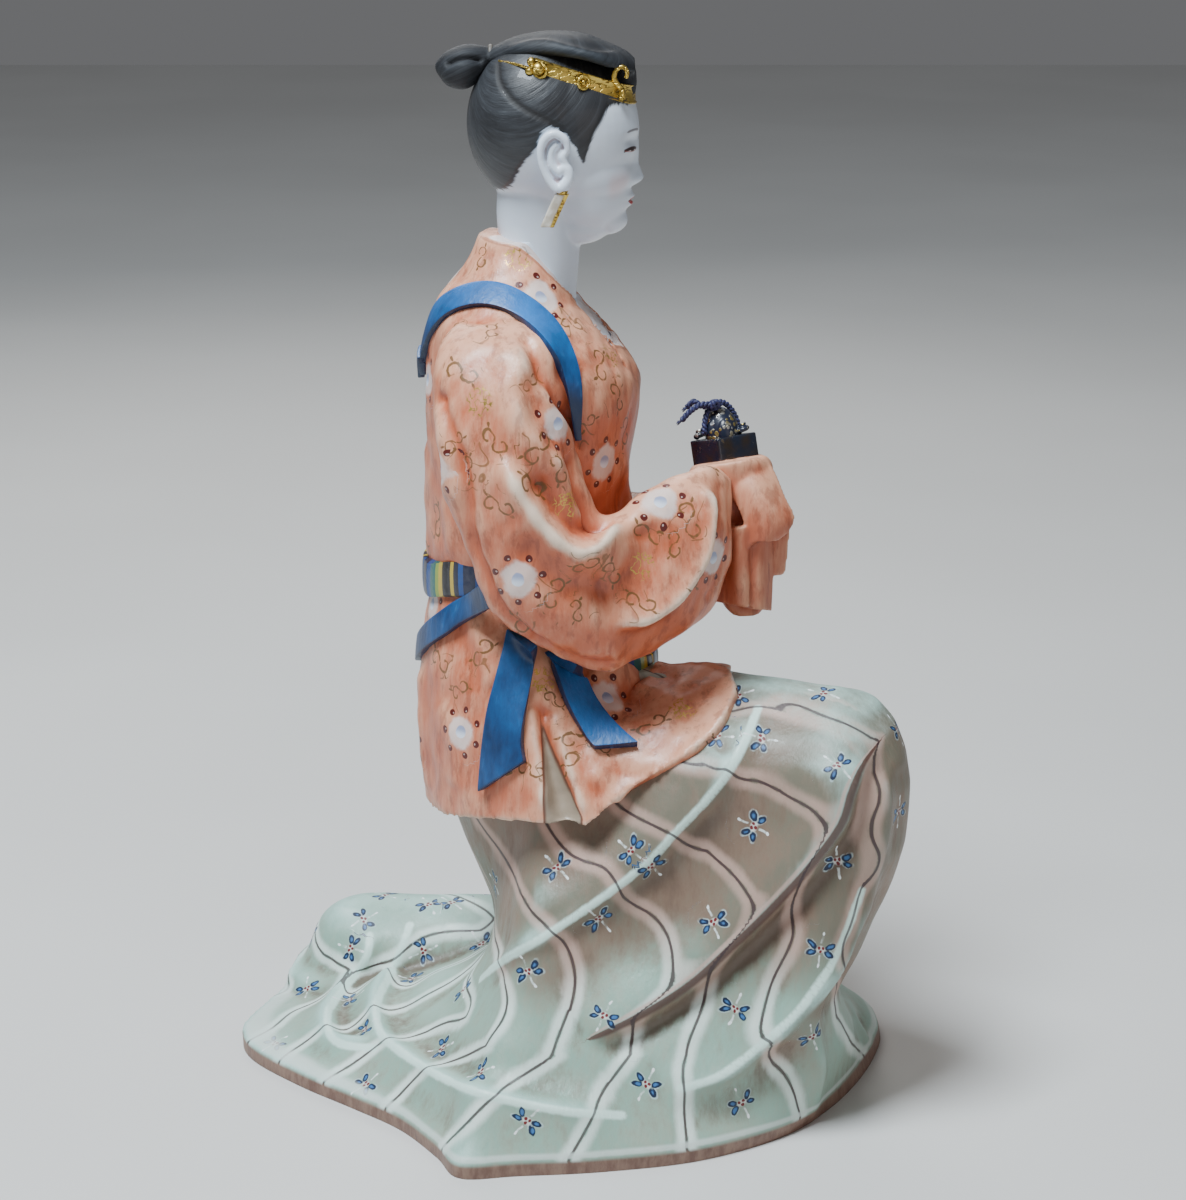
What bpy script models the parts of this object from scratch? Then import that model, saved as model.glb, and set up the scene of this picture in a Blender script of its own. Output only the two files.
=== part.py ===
"""A kneeling court attendant who holds up a seal: a painted clay figure in the Hakata manner.

The figure is one moulded and fired body: head, hair, robe, ribbons and spread skirt.
The seal stands loose on the cloth over the hands, and its cord is tied over the knob.
The figure looks along -Y, its right side is at -X, and it stands on the plane Z = 0.
"""
import math
from itertools import combinations

import bmesh
import bpy
import numpy as np
from mathutils import Matrix, Vector

MM = 0.001
FIGURE_HEIGHT = 320 * MM
# The free form is written in 320ths of the figure's height, as (forward, right, up).
STEP = FIGURE_HEIGHT / 320

BASE_THICKNESS = 5 * MM
RIBBON_THICKNESS = 1.6 * MM
FIGURE_TRIANGLES = 8300
CLAY_VOXEL = 1.9 * MM

SEAL_SIDE = 14.5 * MM
SEAL_THICKNESS = 8.4 * MM
SEAL_TURN = math.radians(35)
SEAL_EDGE = 0.5 * MM
KNOB_DIAMETER = 10.6 * MM
KNOB_HEIGHT = 9.2 * MM
COIL_DIAMETER = 4.2 * MM
CORD_DIAMETER = 1.7 * MM
CONTACT_GAP = 0.3 * MM
# The knot and the tails of the cord, in shares of the knob's diameter from the middle of the seat.
CORD_KNOT = (-0.217, 0.311, 1.740)
CORD_TAILS = [
    [(-0.325, 0.116, 1.758), (-0.217, 0.311, 1.740), (-0.104, 0.650, 1.804), (0.047, 0.978, 1.654),
     (0.192, 1.196, 1.441)],
    [(-0.325, 0.116, 1.758), (-0.217, 0.311, 1.740), (0.084, 0.478, 1.728), (0.307, 0.595, 1.900),
     (0.531, 0.699, 1.761)],
]

# Ground outline of the spread skirt, from the front foot round the right side to the train.
GROUND_OUTLINE = [
    (93, -8), (90, 8), (83, 27), (72, 47), (56, 66), (31, 81), (2, 88), (-22, 90.5), (-39, 92),
    (-46, 79), (-58, 61), (-74, 46), (-91, 31), (-108, 12), (-112.5, -4), (-108, -20), (-101, -38),
    (-95, -60), (-86, -84), (-66, -87), (-32, -84), (0, -79), (28, -72), (55, -60), (78, -40), (90, -24),
]
# Rows of height, forward, right and radius of the round forms that carry the skirt.
RAISED_LEG = [
    (0, 72, 34, 20), (20, 68, 36, 20), (35, 60, 37, 20), (60, 64, 38, 22.5), (85, 69, 38, 25),
    (105, 70, 38, 25), (114, 70, 38, 23.5), (122, 71, 37, 19), (128, 72, 36, 12.5), (132, 70, 35, 3),
]
HIPS = [
    (0, 0, 2, 27), (36, 2, 3, 31), (54, 3, 3, 35), (74, 0, 2, 40), (89, -2, 0, 43),
    (105, -5, 0, 44), (112, -8, 8, 35), (116, -10, 16, 22), (120, -10, 24, 11), (123, 0, 27, 5),
    (127, 25, 30, 4), (130, 50, 33, 4), (132, 64, 35, 2),
]
KNEELING_LEG = [
    (0, 14, -37, 24), (30, 13, -35, 24), (60, 8, -29, 26), (100, 0, -18, 26), (114, -8, -6, 14),
    (132, -8, 12, 2),
]
# Rows of direction in degrees, height to which the cloth spreads, and how hollow its slope is.
SPREAD = [
    (0, 42, 2.0), (50, 110, 1.6), (105, 118, 1.6), (135, 76, 2.0), (165, 44, 2.6), (215, 40, 2.8),
    (250, 60, 2.2), (290, 75, 1.8), (330, 60, 2.0), (360, 42, 2.0),
]
SHIN_START = (16, -38, 15)
SHIN_END = (-76, -46, 13)
SHIN_RADIUS = 19

# Rows of height, forward, half depth and half width of the upper body.
TORSO = [
    (112, -15, 36, 42), (126, -16.5, 35.5, 40), (138, -17, 34.5, 36.5), (150, -17.5, 32, 33.5),
    (160, -18, 31.5, 33), (172, -19, 31, 34.5), (188, -19.5, 30.5, 37), (205, -18.5, 31.5, 40),
    (219, -18, 32, 41), (229, -20.5, 28.5, 39.5), (237, -23.5, 24.5, 34), (244, -25, 20, 26),
    (250, -23.5, 16.5, 19), (256, -22.5, 13.5, 14.5), (262, -22.5, 11.5, 12.5),
]
# Lower edge of the tunic, from the back round the right side.
HEM = [
    (-52, 0, 86), (-47, 24, 88), (-35, 43, 93), (-20, 54, 96.5), (-13, 57, 95.5), (-6, 54, 101),
    (-1, 58.5, 97), (11, 56, 107), (24, 54.5, 115.5), (35, 50, 123.5), (42, 38, 131),
    (42, 27, 128), (38, 12, 118.5), (34, -6, 110.5), (29, -22, 106), (19, -38, 103), (4, -48, 98),
    (-14, -50, 94), (-35, -41, 90), (-47, -22, 87),
]
BELT_CENTRE = (-16, 0, 142)
BELT_DEPTH = 34
BELT_WIDTH = 36
BELT_SLOPE = -0.57
BELT_HEIGHT = 10
BELT_PROUD = 1.2

# Each sleeve ring: its front point, its back point (both forward, up), its middle, its half width.
SLEEVE = [
    ((-19, 241), (-39, 240), 27, 7), ((-12.8, 236.8), (-45, 232.5), 34, 11.5),
    ((-9.3, 225), (-46, 215), 39, 15), ((-6, 211), (-43, 196), 42, 16),
    ((-2.8, 199.6), (-37, 178), 43.5, 16), ((2, 187.6), (-28, 157), 44, 16),
    ((7.5, 187), (-5, 142), 42, 16), ((13.5, 191), (11, 141), 38, 15),
    ((25, 195.6), (25, 147.5), 32, 14), ((35, 197), (37, 153), 25, 12.5),
    ((42, 191), (44, 159), 19, 11),
]
# The left hand is held lower than the right.
LEFT_SLEEVE = [
    ((-19, 241), (-39, 240), 27, 7), ((-12.8, 236.8), (-45, 232.5), 34, 11.5),
    ((-9.3, 225), (-46, 215), 39, 15), ((-6, 210), (-43, 195), 42, 16),
    ((-4, 197), (-37, 175), 43.5, 16), ((0, 181), (-28, 150), 44, 16),
    ((6, 174), (-5, 136), 41, 15.5), ((13, 173), (11, 134), 35, 14.5),
    ((24, 177), (25, 139), 27, 13), ((34, 179), (36, 146), 20, 12),
    ((40, 178), (43, 152), 15, 11),
]
# Rows of height, forward, half depth and half width of the cloth that covers the hands.
HAND_CLOTH = [
    (147, 48, 5, 15), (150, 48, 6.5, 18), (158, 47.5, 8.5, 21), (166, 46.5, 10.5, 21.5),
    (175, 45.2, 13, 20.5), (184, 43, 13, 18), (189.5, 42, 12.8, 16), (192.5, 41.5, 11.5, 13.5),
    (193.4, 41.5, 9, 11),
]
HAND_CLOTH_SIDE = 3
# The seat of the seal leans: it rises forward and towards the right hand.
SEAL_SEAT = (40.4, 2, 191.9)
SEAT_RISE_FORWARD = 0.155
SEAT_RISE_RIGHT = 0.18

NECK = [(232, -19, 14), (244, -17.5, 12.6), (256, -16, 12), (268, -16, 12.5), (280, -14, 14)]
SKULL = ((-11, 0, 292.5), (24.6, 19.8, 24.5))
JAW = ((-1.8, 0, 275.5), (14.4, 14.4, 15))
NOSE = ((12.8, 0, 281.5), (3.4, 2.4, 4.6))
BACK_HAIR = ((-15.3, 0, 294.2), (21.4, 20.6, 24.6))
TOP_ROLL = [
    (-29, 314, 3.2, 4), (-22, 315, 4.6, 8), (-10, 315.2, 5, 12.5), (1, 312.8, 5, 14.5),
    (9, 308.5, 5, 13), (12.3, 306.5, 3.2, 9),
]
KNOT = ((-36.2, 0, 310), (9.4, 7.4, 6.6))
EAR = ((-11, 19.6, 286), (4.4, 2.6, 8.4))
EAR_DROP_TOP = (-9.5, 18.8, 278)
EAR_DROP_END = (-13, 17.0, 266.5)
EAR_DROP_WIDTH = 3.4
BAND_SIDE = (-18, 15.4, 311.2)
BAND_FRONT = (12.6, 0, 300.8)
BAND_HEIGHT = 4.6
BAND_THICKNESS = 1.6


def flat(points):
    """World positions, in metres, of points written as forward, right and up."""
    points = np.asarray(points, float).reshape(-1, 3)
    return np.stack((-points[:, 1], -points[:, 0], points[:, 2]), 1) * STEP


def spot(forward, right, up):
    """World position of one point written as forward, right and up."""
    return Vector((-right, -forward, up)) * STEP


def through(rows, count, closed=False):
    """An even run of points on a smooth curve through the rows."""
    rows = np.asarray(rows, float)
    total = len(rows)
    last = total if closed else total - 1
    found = []
    for value in np.linspace(0, last, count, endpoint=not closed):
        at = min(int(value), last - 1)
        share = value - at
        picks = [at - 1, at, at + 1, at + 2]
        if closed:
            picks = [pick % total for pick in picks]
        else:
            picks = [min(max(pick, 0), total - 1) for pick in picks]
        before, start, end, after = rows[picks]
        found.append(0.5 * (2 * start + (end - before) * share
                            + (2 * before - 5 * start + 4 * end - after) * share ** 2
                            + (3 * start - before - 3 * end + after) * share ** 3))
    return np.array(found)


def at_height(rows, height):
    """The row of a table, without its first column, at a height between its rows."""
    rows = np.asarray(rows, float)
    return np.array([np.interp(height, rows[:, 0], rows[:, column])
                     for column in range(1, rows.shape[1])])


def new_object(name, bm):
    """Closes a bmesh into a named object with its faces pointing out."""
    bmesh.ops.recalc_face_normals(bm, faces=bm.faces)
    mesh = bpy.data.meshes.new(name)
    bm.to_mesh(mesh)
    bm.free()
    made = bpy.data.objects.new(name, mesh)
    bpy.context.scene.collection.objects.link(made)
    return made


def loft(name, rings):
    """A closed skin over a stack of rings, each the same number of (forward, right, up) points."""
    bm = bmesh.new()
    rows = [[bm.verts.new(point) for point in flat(ring)] for ring in rings]
    count = len(rows[0])
    for low, high in zip(rows, rows[1:]):
        for i in range(count):
            j = (i + 1) % count
            bm.faces.new((low[i], low[j], high[j], high[i]))
    bm.faces.new(rows[0])
    bm.faces.new(rows[-1])
    return new_object(name, bm)


def ellipsoid(name, centre, half_sizes):
    """A UV sphere stretched to the half sizes (forward, right, up)."""
    bm = bmesh.new()
    bmesh.ops.create_uvsphere(bm, u_segments=32, v_segments=20, radius=1)
    forward, right, up = half_sizes
    stretch = Matrix.Diagonal((right * STEP, forward * STEP, up * STEP, 1))
    bmesh.ops.transform(bm, matrix=Matrix.Translation(spot(*centre)) @ stretch, verts=bm.verts)
    return new_object(name, bm)


def oval(centre, first, second, count=40, squareness=2.0):
    """Points on an oval about a centre, spanned by two half axes; over 2 it grows square."""
    points = []
    for turn in np.linspace(0, 2 * math.pi, count, endpoint=False):
        across, along = math.cos(turn), math.sin(turn)
        across = math.copysign(abs(across) ** (2 / squareness), across)
        along = math.copysign(abs(along) ** (2 / squareness), along)
        points.append(np.asarray(centre) + across * np.asarray(first) + along * np.asarray(second))
    return np.array(points)


def pull_tight(directions, discs):
    """How far a cloth pulled round the discs reaches from the upright axis, for each direction."""
    heading = np.stack((np.cos(directions), np.sin(directions)))
    furthest = np.zeros(len(directions))
    for one, other in combinations(np.asarray(discs, float), 2):
        for share in np.linspace(0, 1, 17):
            forward, right, radius = one * (1 - share) + other * share
            along = forward * heading[0] + right * heading[1]
            inside = radius ** 2 - forward ** 2 - right ** 2 + along ** 2
            reach = along + np.sqrt(np.maximum(inside, 0))
            furthest = np.maximum(furthest, np.where(inside > 0, reach, 0))
    return furthest


def ground_reach(directions):
    """How far the ground outline lies from the upright axis, for each direction."""
    outline = through(GROUND_OUTLINE, 400, closed=True)
    bearing = np.unwrap(np.arctan2(outline[:, 1], outline[:, 0]))
    distance = np.hypot(outline[:, 0], outline[:, 1])
    bearing = np.concatenate((bearing - 2 * math.pi, bearing, bearing + 2 * math.pi))
    return np.interp(directions, bearing, np.tile(distance, 3))


def over_shin(points):
    """Lifts the train where it lies over the shin and foot of the kneeling leg."""
    start, end = np.array(SHIN_START, float), np.array(SHIN_END, float)
    along = end - start
    share = np.clip(((points - start)[:, :2] @ along[:2]) / (along[:2] @ along[:2]), 0, 1)
    nearest = start + share[:, None] * along
    aside = np.hypot(*(points - nearest)[:, :2].T)
    swell = np.sqrt(np.maximum(SHIN_RADIUS ** 2 - aside ** 2, 0))
    top = nearest[:, 2] + swell - 0.35 * np.maximum(aside - SHIN_RADIUS, 0)
    lifted = np.maximum(points[:, 2], np.where(aside < SHIN_RADIUS * 1.5, top, 0))
    return np.column_stack((points[:, :2], lifted))


def skirt():
    """The spread skirt, as rings from the ground to the waist."""
    directions = np.linspace(0, 2 * math.pi, 110, endpoint=False)
    degrees = np.degrees(directions)
    spread = np.asarray(SPREAD, float)
    spread_height = np.interp(degrees, spread[:, 0], spread[:, 1])
    hollow = np.interp(degrees, spread[:, 0], spread[:, 2])
    edge = ground_reach(directions)
    slab = BASE_THICKNESS / STEP
    heights = slab + 127 * (1 - np.cos(np.linspace(0, math.pi, 44))) / 2
    forms = (RAISED_LEG, HIPS, KNEELING_LEG)
    at_ground = pull_tight(directions, [at_height(form, 0) for form in forms])
    rings = []
    for height, reach in ((-4, edge - 1.2), (0, edge - 1.2)):
        rings.append(np.column_stack((reach * np.cos(directions), reach * np.sin(directions),
                                      np.full(len(reach), height))))
    for height in heights:
        body = pull_tight(directions, [at_height(form, height) for form in forms])
        left = np.clip(1 - (height - slab) / spread_height, 0, 1)
        reach = body + (edge - at_ground) * left ** hollow
        ring = np.column_stack((reach * np.cos(directions), reach * np.sin(directions),
                                np.full(len(reach), height)))
        rings.append(over_shin(ring) if height > slab else ring)
    return loft("skirt form", rings)


def torso():
    """The upper body under the tunic, as level ovals from the lap to the collar."""
    rings = []
    for up, forward, depth, width in through(TORSO, 46):
        rings.append(oval((forward, 0, up), (depth, 0, 0), (0, width, 0), squareness=2.15))
    return loft("torso form", rings)


def belt_ring(rise, grow):
    """A ring round the sloping belt line, raised along the body and grown outward."""
    forward, right, up = BELT_CENTRE
    ring = oval((forward, right, up + rise), (BELT_DEPTH + grow, 0, 0), (0, BELT_WIDTH + grow, 0), 76)
    ring[:, 2] += BELT_SLOPE * (ring[:, 0] - forward)
    return ring


def tunic_skirt():
    """The tunic below the belt, from its hem up to the belt line."""
    hem = through(HEM, 76, closed=True)
    belt = belt_ring(0, 0)
    start = np.argmin(belt[:, 0])
    belt = np.roll(belt, -start, axis=0)
    if belt[5, 1] < 0:
        belt = np.roll(belt[::-1], 1, axis=0)
    core = hem * (0.62, 0.62, 1)
    rings = [core, hem]
    for share in np.linspace(0.1, 1, 14):
        ring = hem * (1 - share) + belt * share
        bulge = 1 + 0.05 * math.sin(math.pi * share)
        rings.append(ring * (bulge, bulge, 1))
    return loft("tunic skirt form", rings)


def belt():
    """The broad belt over the tunic's waist."""
    rings = [belt_ring(rise, BELT_PROUD - 2.6 * abs(rise / BELT_HEIGHT - 0.5) ** 3)
             for rise in np.linspace(0, BELT_HEIGHT, 5)]
    return loft("belt form", rings)


def sleeve(side, sleeve_rows):
    """A wide hanging sleeve from the shoulder over the elbow to the hands; side is 1 or -1."""
    rows = [(*front, *back, middle, half) for front, back, middle, half in sleeve_rows]
    rings = []
    for front_f, front_u, back_f, back_u, middle, half in through(rows, 44):
        centre = ((front_f + back_f) / 2, side * middle, (front_u + back_u) / 2)
        long_axis = ((front_f - back_f) / 2, 0, (front_u - back_u) / 2)
        rings.append(oval(centre, long_axis, (0, half, 0), squareness=2.2))
    return loft("sleeve form", rings)


def hand_cloth():
    """The plain cloth that hangs over both hands; towards its top it takes the seat's lean."""
    rings = []
    low, high = HAND_CLOTH[0][0], HAND_CLOTH[-1][0]
    for up, forward, depth, width in through(HAND_CLOTH, 22):
        ring = oval((forward, HAND_CLOTH_SIDE, up), (depth, 0, 0), (0, width, 0), squareness=2.8)
        lean = (up - low) / (high - low)
        ring[:, 2] += lean * SEAT_RISE_FORWARD * (ring[:, 0] - SEAL_SEAT[0])
        ring[:, 2] += lean * SEAT_RISE_RIGHT * (ring[:, 1] - SEAL_SEAT[1])
        rings.append(ring)
    return loft("hand cloth form", rings)


def neck():
    """The neck, from inside the collar into the head."""
    rings = [oval((forward, 0, up), (radius, 0, 0), (0, radius * 0.94, 0))
             for up, forward, radius in through(NECK, 12)]
    return loft("neck form", rings)


def top_roll():
    """The folded roll of hair that runs from the knot forward over the crown."""
    rings = [oval((forward, 0, up), (0, 0, thick), (0, width, 0), squareness=2.4)
             for forward, up, thick, width in through(TOP_ROLL, 18)]
    return loft("hair roll form", rings)


def head_band():
    """The gilt band that rings the brow from ear to ear."""
    side_forward, side_right, side_up = BAND_SIDE
    front_forward, _, front_up = BAND_FRONT
    rings = []
    for turn in np.radians(np.linspace(-90, 90, 25)):
        out = np.array((math.cos(turn), math.sin(turn), 0))
        place = np.array((side_forward + (front_forward - side_forward) * math.cos(turn),
                          side_right * math.sin(turn),
                          side_up + (front_up - side_up) * math.cos(turn)))
        half = np.array((0, 0, BAND_HEIGHT / 2))
        deep = out * BAND_THICKNESS
        rings.append([place - half - deep, place - half + deep / 2, place + half + deep / 2,
                      place + half - deep])
    return loft("head band form", rings)


def ear_drop(side):
    """A flat gilt bar that hangs from the ear down to the collar; side is 1 or -1."""
    top, end = np.array(EAR_DROP_TOP, float), np.array(EAR_DROP_END, float)
    top[1], end[1] = side * top[1], side * end[1]
    across = np.array((EAR_DROP_WIDTH / 2, 0, 0))
    inward = np.array((0, side * 2.2, 0))
    rings = [[place - across - inward, place + across - inward, place + across + inward / 2,
              place - across + inward / 2] for place in (top, (top + end) / 2, end)]
    return loft("ear drop form", rings)


# Carved lines of the drapery, as points on the surface, with the ridge's height and half width.
RIGHT_FOLDS = [
    ("thigh crest", [(49, 50, 131), (38, 58, 114), (21, 64, 95), (2, 66, 76), (-18, 66, 58),
                     (-32, 62, 46)], 3.4, 6.5),
    ("knee crest", [(86, 50, 120), (75, 60, 108), (62, 65, 86), (43, 69, 63), (22, 75, 48),
                    (0, 79, 38)], 4.2, 6.5),
    ("shin crest", [(77, 55, 60), (72, 60, 45), (60, 68, 31), (43, 76, 21), (25, 80, 15)], 3.0, 6.0),
    ("train crest", [(-57, 16, 20), (-70, 22, 12), (-72, 30, 9), (-60, 42, 8), (-42, 56, 8),
                     (-22, 70, 9), (5, 78, 9)], 2.6, 5.5),
    ("tail crest", [(-72, 0, 17), (-84, 12, 10), (-87, 20, 8), (-80, 30, 7)], 2.4, 5.0),
]
LEFT_FOLDS = [
    ("left thigh crest", [(38, -34, 100), (22, -46, 78), (4, -52, 56), (-14, -56, 38)], 3.0, 6.5),
    ("left knee crest", [(52, -30, 84), (42, -46, 58), (26, -58, 34), (6, -66, 20)], 3.2, 6.5),
    ("left hem crest", [(72, -22, 46), (66, -38, 26), (50, -52, 14)], 2.6, 6.0),
    ("left train crest", [(-48, -66, 22), (-66, -70, 15), (-84, -66, 9), (-98, -52, 7)], 2.2, 5.5),
]
TUNIC_FOLDS = [
    ("side pleat", [(-20, 52, 128), (-13, 57, 112), (-6, 59, 98)], -4.5, 4.5),
    ("left pleat", [(-20, -46, 124), (-14, -50, 110), (-8, -52, 97)], -3.5, 4.5),
    ("arm crease", [(-36, 38, 186), (-32, 42, 170), (-27, 46, 158)], -2.4, 3.5),
    ("chest crease", [(-9, 38, 228), (-4, 42, 214), (0, 40, 200)], -2.4, 3.2),
    ("sleeve crest", [(0, 55, 200), (6, 57, 186), (14, 55, 176)], 1.8, 4.5),
    ("cuff crest", [(32, 38, 196), (34, 42, 184), (28, 44, 168), (14, 48, 154)], 2.2, 4.0),
    ("back crease", [(-50, 12, 196), (-51, 16, 178), (-48, 20, 164)], -1.6, 4.0),
    ("left back crease", [(-50, -12, 198), (-51, -16, 180), (-48, -20, 164)], -1.6, 4.0),
    ("left cuff crest", [(32, -38, 196), (34, -42, 184), (28, -44, 168), (14, -48, 154)], 2.2, 4.0),
]
# Ribbons lie on the robe as raised strips: their middle line and half width.
RIBBONS = [
    ("right shoulder strap", [(-54, -2, 214), (-53, 6, 220), (-50, 18, 229), (-46, 27, 236),
                              (-38, 33, 246), (-24, 38, 246), (-11, 41, 236), (-5, 43, 222),
                              (-2, 42, 208)], 3.6),
    ("left shoulder strap", [(-54, 2, 214), (-53, -6, 220), (-50, -18, 229), (-46, -27, 236),
                             (-38, -33, 246), (-24, -38, 246), (-11, -41, 236), (-5, -43, 222),
                             (-2, -42, 208)], 3.6),
    ("hip ribbon", [(-54, -14, 134), (-54, 6, 136), (-48, 24, 141), (-36, 37, 147)], 4.4),
    ("hanging end", [(-20, 46, 140), (-24, 53, 122), (-28, 54, 104)], 4.6),
    ("swept end", [(-10, 49, 139), (-4, 58, 124), (6, 62, 114), (14, 63, 111)], 4.6),
]


def nearest_on_line(points, line):
    """Distance of each point from a line through the given points."""
    line = through(line, 8 * len(line))
    away = np.full(len(points), 1e9)
    for start, end in zip(line, line[1:]):
        along = end - start
        share = np.clip((points - start) @ along / (along @ along), 0, 1)
        away = np.minimum(away, np.linalg.norm(points - start - share[:, None] * along, axis=1))
    return away


def carve(clay):
    """Raises the ridges and ribbons on the clay and presses in its creases."""
    mesh = clay.data
    count = len(mesh.vertices)
    world = np.empty(count * 3)
    mesh.vertices.foreach_get("co", world)
    normal = np.empty(count * 3)
    mesh.vertices.foreach_get("normal", normal)
    world, normal = world.reshape(-1, 3), normal.reshape(-1, 3)
    points = np.stack((-world[:, 1], -world[:, 0], world[:, 2]), 1) / STEP
    rise = np.zeros(count)
    for _, line, height, half_width in RIGHT_FOLDS + LEFT_FOLDS + TUNIC_FOLDS:
        rise += height * np.exp(-(nearest_on_line(points, line) / half_width) ** 2 * 1.6)
    for _, line, half_width in RIBBONS:
        inside = np.clip((half_width - nearest_on_line(points, line)) / 1.0 + 0.5, 0, 1)
        rise = np.maximum(rise, rise + inside * RIBBON_THICKNESS / STEP)
    world += normal * rise[:, None] * STEP
    mesh.vertices.foreach_set("co", world.ravel())
    mesh.update()


def apply_modifiers(made):
    """Replaces an object's mesh by the shape its modifiers give."""
    evaluated = made.evaluated_get(bpy.context.evaluated_depsgraph_get())
    mesh = bpy.data.meshes.new_from_object(evaluated)
    made.modifiers.clear()
    made.data = mesh


def join(name, forms):
    """One object from several."""
    bm = bmesh.new()
    for form in forms:
        bm.from_mesh(form.data)
        bpy.data.objects.remove(form)
    return new_object(name, bm)


def figure():
    """The whole clay body: its forms are run together, carved, and cut flat below."""
    forms = [skirt(), torso(), tunic_skirt(), belt(), sleeve(1, SLEEVE), sleeve(-1, LEFT_SLEEVE),
             hand_cloth(), neck(), ellipsoid("skull form", *SKULL), ellipsoid("jaw form", *JAW),
             ellipsoid("nose form", *NOSE), ellipsoid("back hair form", *BACK_HAIR), top_roll(),
             ellipsoid("knot form", *KNOT), head_band(), ear_drop(1), ear_drop(-1)]
    centre, half_sizes = EAR
    for side in (1, -1):
        forms.append(ellipsoid("ear form", (centre[0], side * centre[1], centre[2]), half_sizes))
    clay = join("figure", forms)
    remesh = clay.modifiers.new("run together", "REMESH")
    remesh.mode = "VOXEL"
    remesh.voxel_size = CLAY_VOXEL
    soften = clay.modifiers.new("soften", "SMOOTH")
    soften.factor = 0.5
    soften.iterations = 2
    apply_modifiers(clay)
    carve(clay)
    reduce = clay.modifiers.new("reduce", "DECIMATE")
    clay.data.calc_loop_triangles()
    reduce.ratio = FIGURE_TRIANGLES / len(clay.data.loop_triangles)
    apply_modifiers(clay)
    bm = bmesh.new()
    bm.from_mesh(clay.data)
    cut = bmesh.ops.bisect_plane(bm, geom=bm.verts[:] + bm.edges[:] + bm.faces[:], dist=1e-6,
                                 plane_co=(0, 0, 0), plane_no=(0, 0, 1), clear_inner=True)
    rim = [item for item in cut["geom_cut"] if isinstance(item, bmesh.types.BMEdge)]
    bmesh.ops.contextual_create(bm, geom=rim)
    bm.to_mesh(clay.data)
    bm.free()
    return clay


def seat_frame():
    """The frame of the seal: its origin at the middle of the seat, its Z square to the seat."""
    up = Vector((SEAT_RISE_RIGHT, SEAT_RISE_FORWARD, 1)).normalized()
    turn = Matrix.Rotation(SEAL_TURN, 4, "Z")
    lean = Vector((0, 0, 1)).rotation_difference(up).to_matrix().to_4x4()
    return Matrix.Translation(spot(*SEAL_SEAT)) @ lean @ turn


def seal_block(grow):
    """A square block that stands on the seat, grown on all sides and below."""
    bm = bmesh.new()
    bmesh.ops.create_cube(bm, size=1)
    side, thickness = SEAL_SIDE + 2 * grow, SEAL_THICKNESS + 2 * grow
    bmesh.ops.transform(bm, matrix=Matrix.Diagonal((side, side, thickness, 1)), verts=bm.verts)
    bmesh.ops.translate(bm, vec=(0, 0, SEAL_THICKNESS / 2), verts=bm.verts)
    bmesh.ops.transform(bm, matrix=seat_frame(), verts=bm.verts)
    return bm


def seal():
    """The seal: its block, a domed knob carved as a crouching beast, and a coil at each side."""
    bm = seal_block(0)
    bmesh.ops.bevel(bm, geom=bm.edges[:], offset=SEAL_EDGE, segments=2, affect="EDGES", profile=0.5)
    block = new_object("seal", bm)
    for name, place, diameter, height in (
            ("knob", (0, 0), KNOB_DIAMETER, KNOB_HEIGHT),
            ("near coil", (-0.36, -0.30), COIL_DIAMETER, COIL_DIAMETER),
            ("far coil", (0.36, 0.30), COIL_DIAMETER, COIL_DIAMETER)):
        bm = bmesh.new()
        bmesh.ops.create_uvsphere(bm, u_segments=16, v_segments=12, radius=1)
        bmesh.ops.transform(bm, matrix=Matrix.Diagonal((diameter / 2, diameter / 2, height, 1)),
                            verts=bm.verts)
        bmesh.ops.translate(bm, verts=bm.verts, vec=(place[0] * SEAL_SIDE, place[1] * SEAL_SIDE,
                                                     SEAL_THICKNESS * 0.98))
        bmesh.ops.bisect_plane(bm, geom=bm.verts[:] + bm.edges[:] + bm.faces[:], clear_inner=True,
                               plane_co=(0, 0, SEAL_THICKNESS * 0.8), plane_no=(0, 0, 1))
        rim = [edge for edge in bm.edges if edge.is_boundary]
        bmesh.ops.contextual_create(bm, geom=rim)
        bmesh.ops.transform(bm, matrix=seat_frame(), verts=bm.verts)
        boolean(block, new_object(name, bm), "UNION")
    return block


def boolean(target, tool, operation):
    """Joins a tool to its target or cuts it away."""
    made = target.modifiers.new("combine", "BOOLEAN")
    made.operation = operation
    made.solver = "EXACT"
    made.object = tool
    apply_modifiers(target)
    bpy.data.objects.remove(tool)


def tube(name, line, diameter):
    """A round cord through the points of a line, closed at both ends."""
    curve = bpy.data.curves.new(name, "CURVE")
    curve.dimensions = "3D"
    curve.bevel_depth = diameter / 2
    curve.bevel_resolution = 2
    curve.use_fill_caps = True
    spline = curve.splines.new("POLY")
    spline.points.add(len(line) - 1)
    for point, place in zip(spline.points, line):
        point.co = (*place, 1)
    made = bpy.data.objects.new(name, curve)
    bpy.context.scene.collection.objects.link(made)
    mesh = bpy.data.meshes.new_from_object(made.evaluated_get(bpy.context.evaluated_depsgraph_get()))
    bpy.data.objects.remove(made)
    solid = bpy.data.objects.new(name, mesh)
    bpy.context.scene.collection.objects.link(solid)
    return solid


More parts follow.
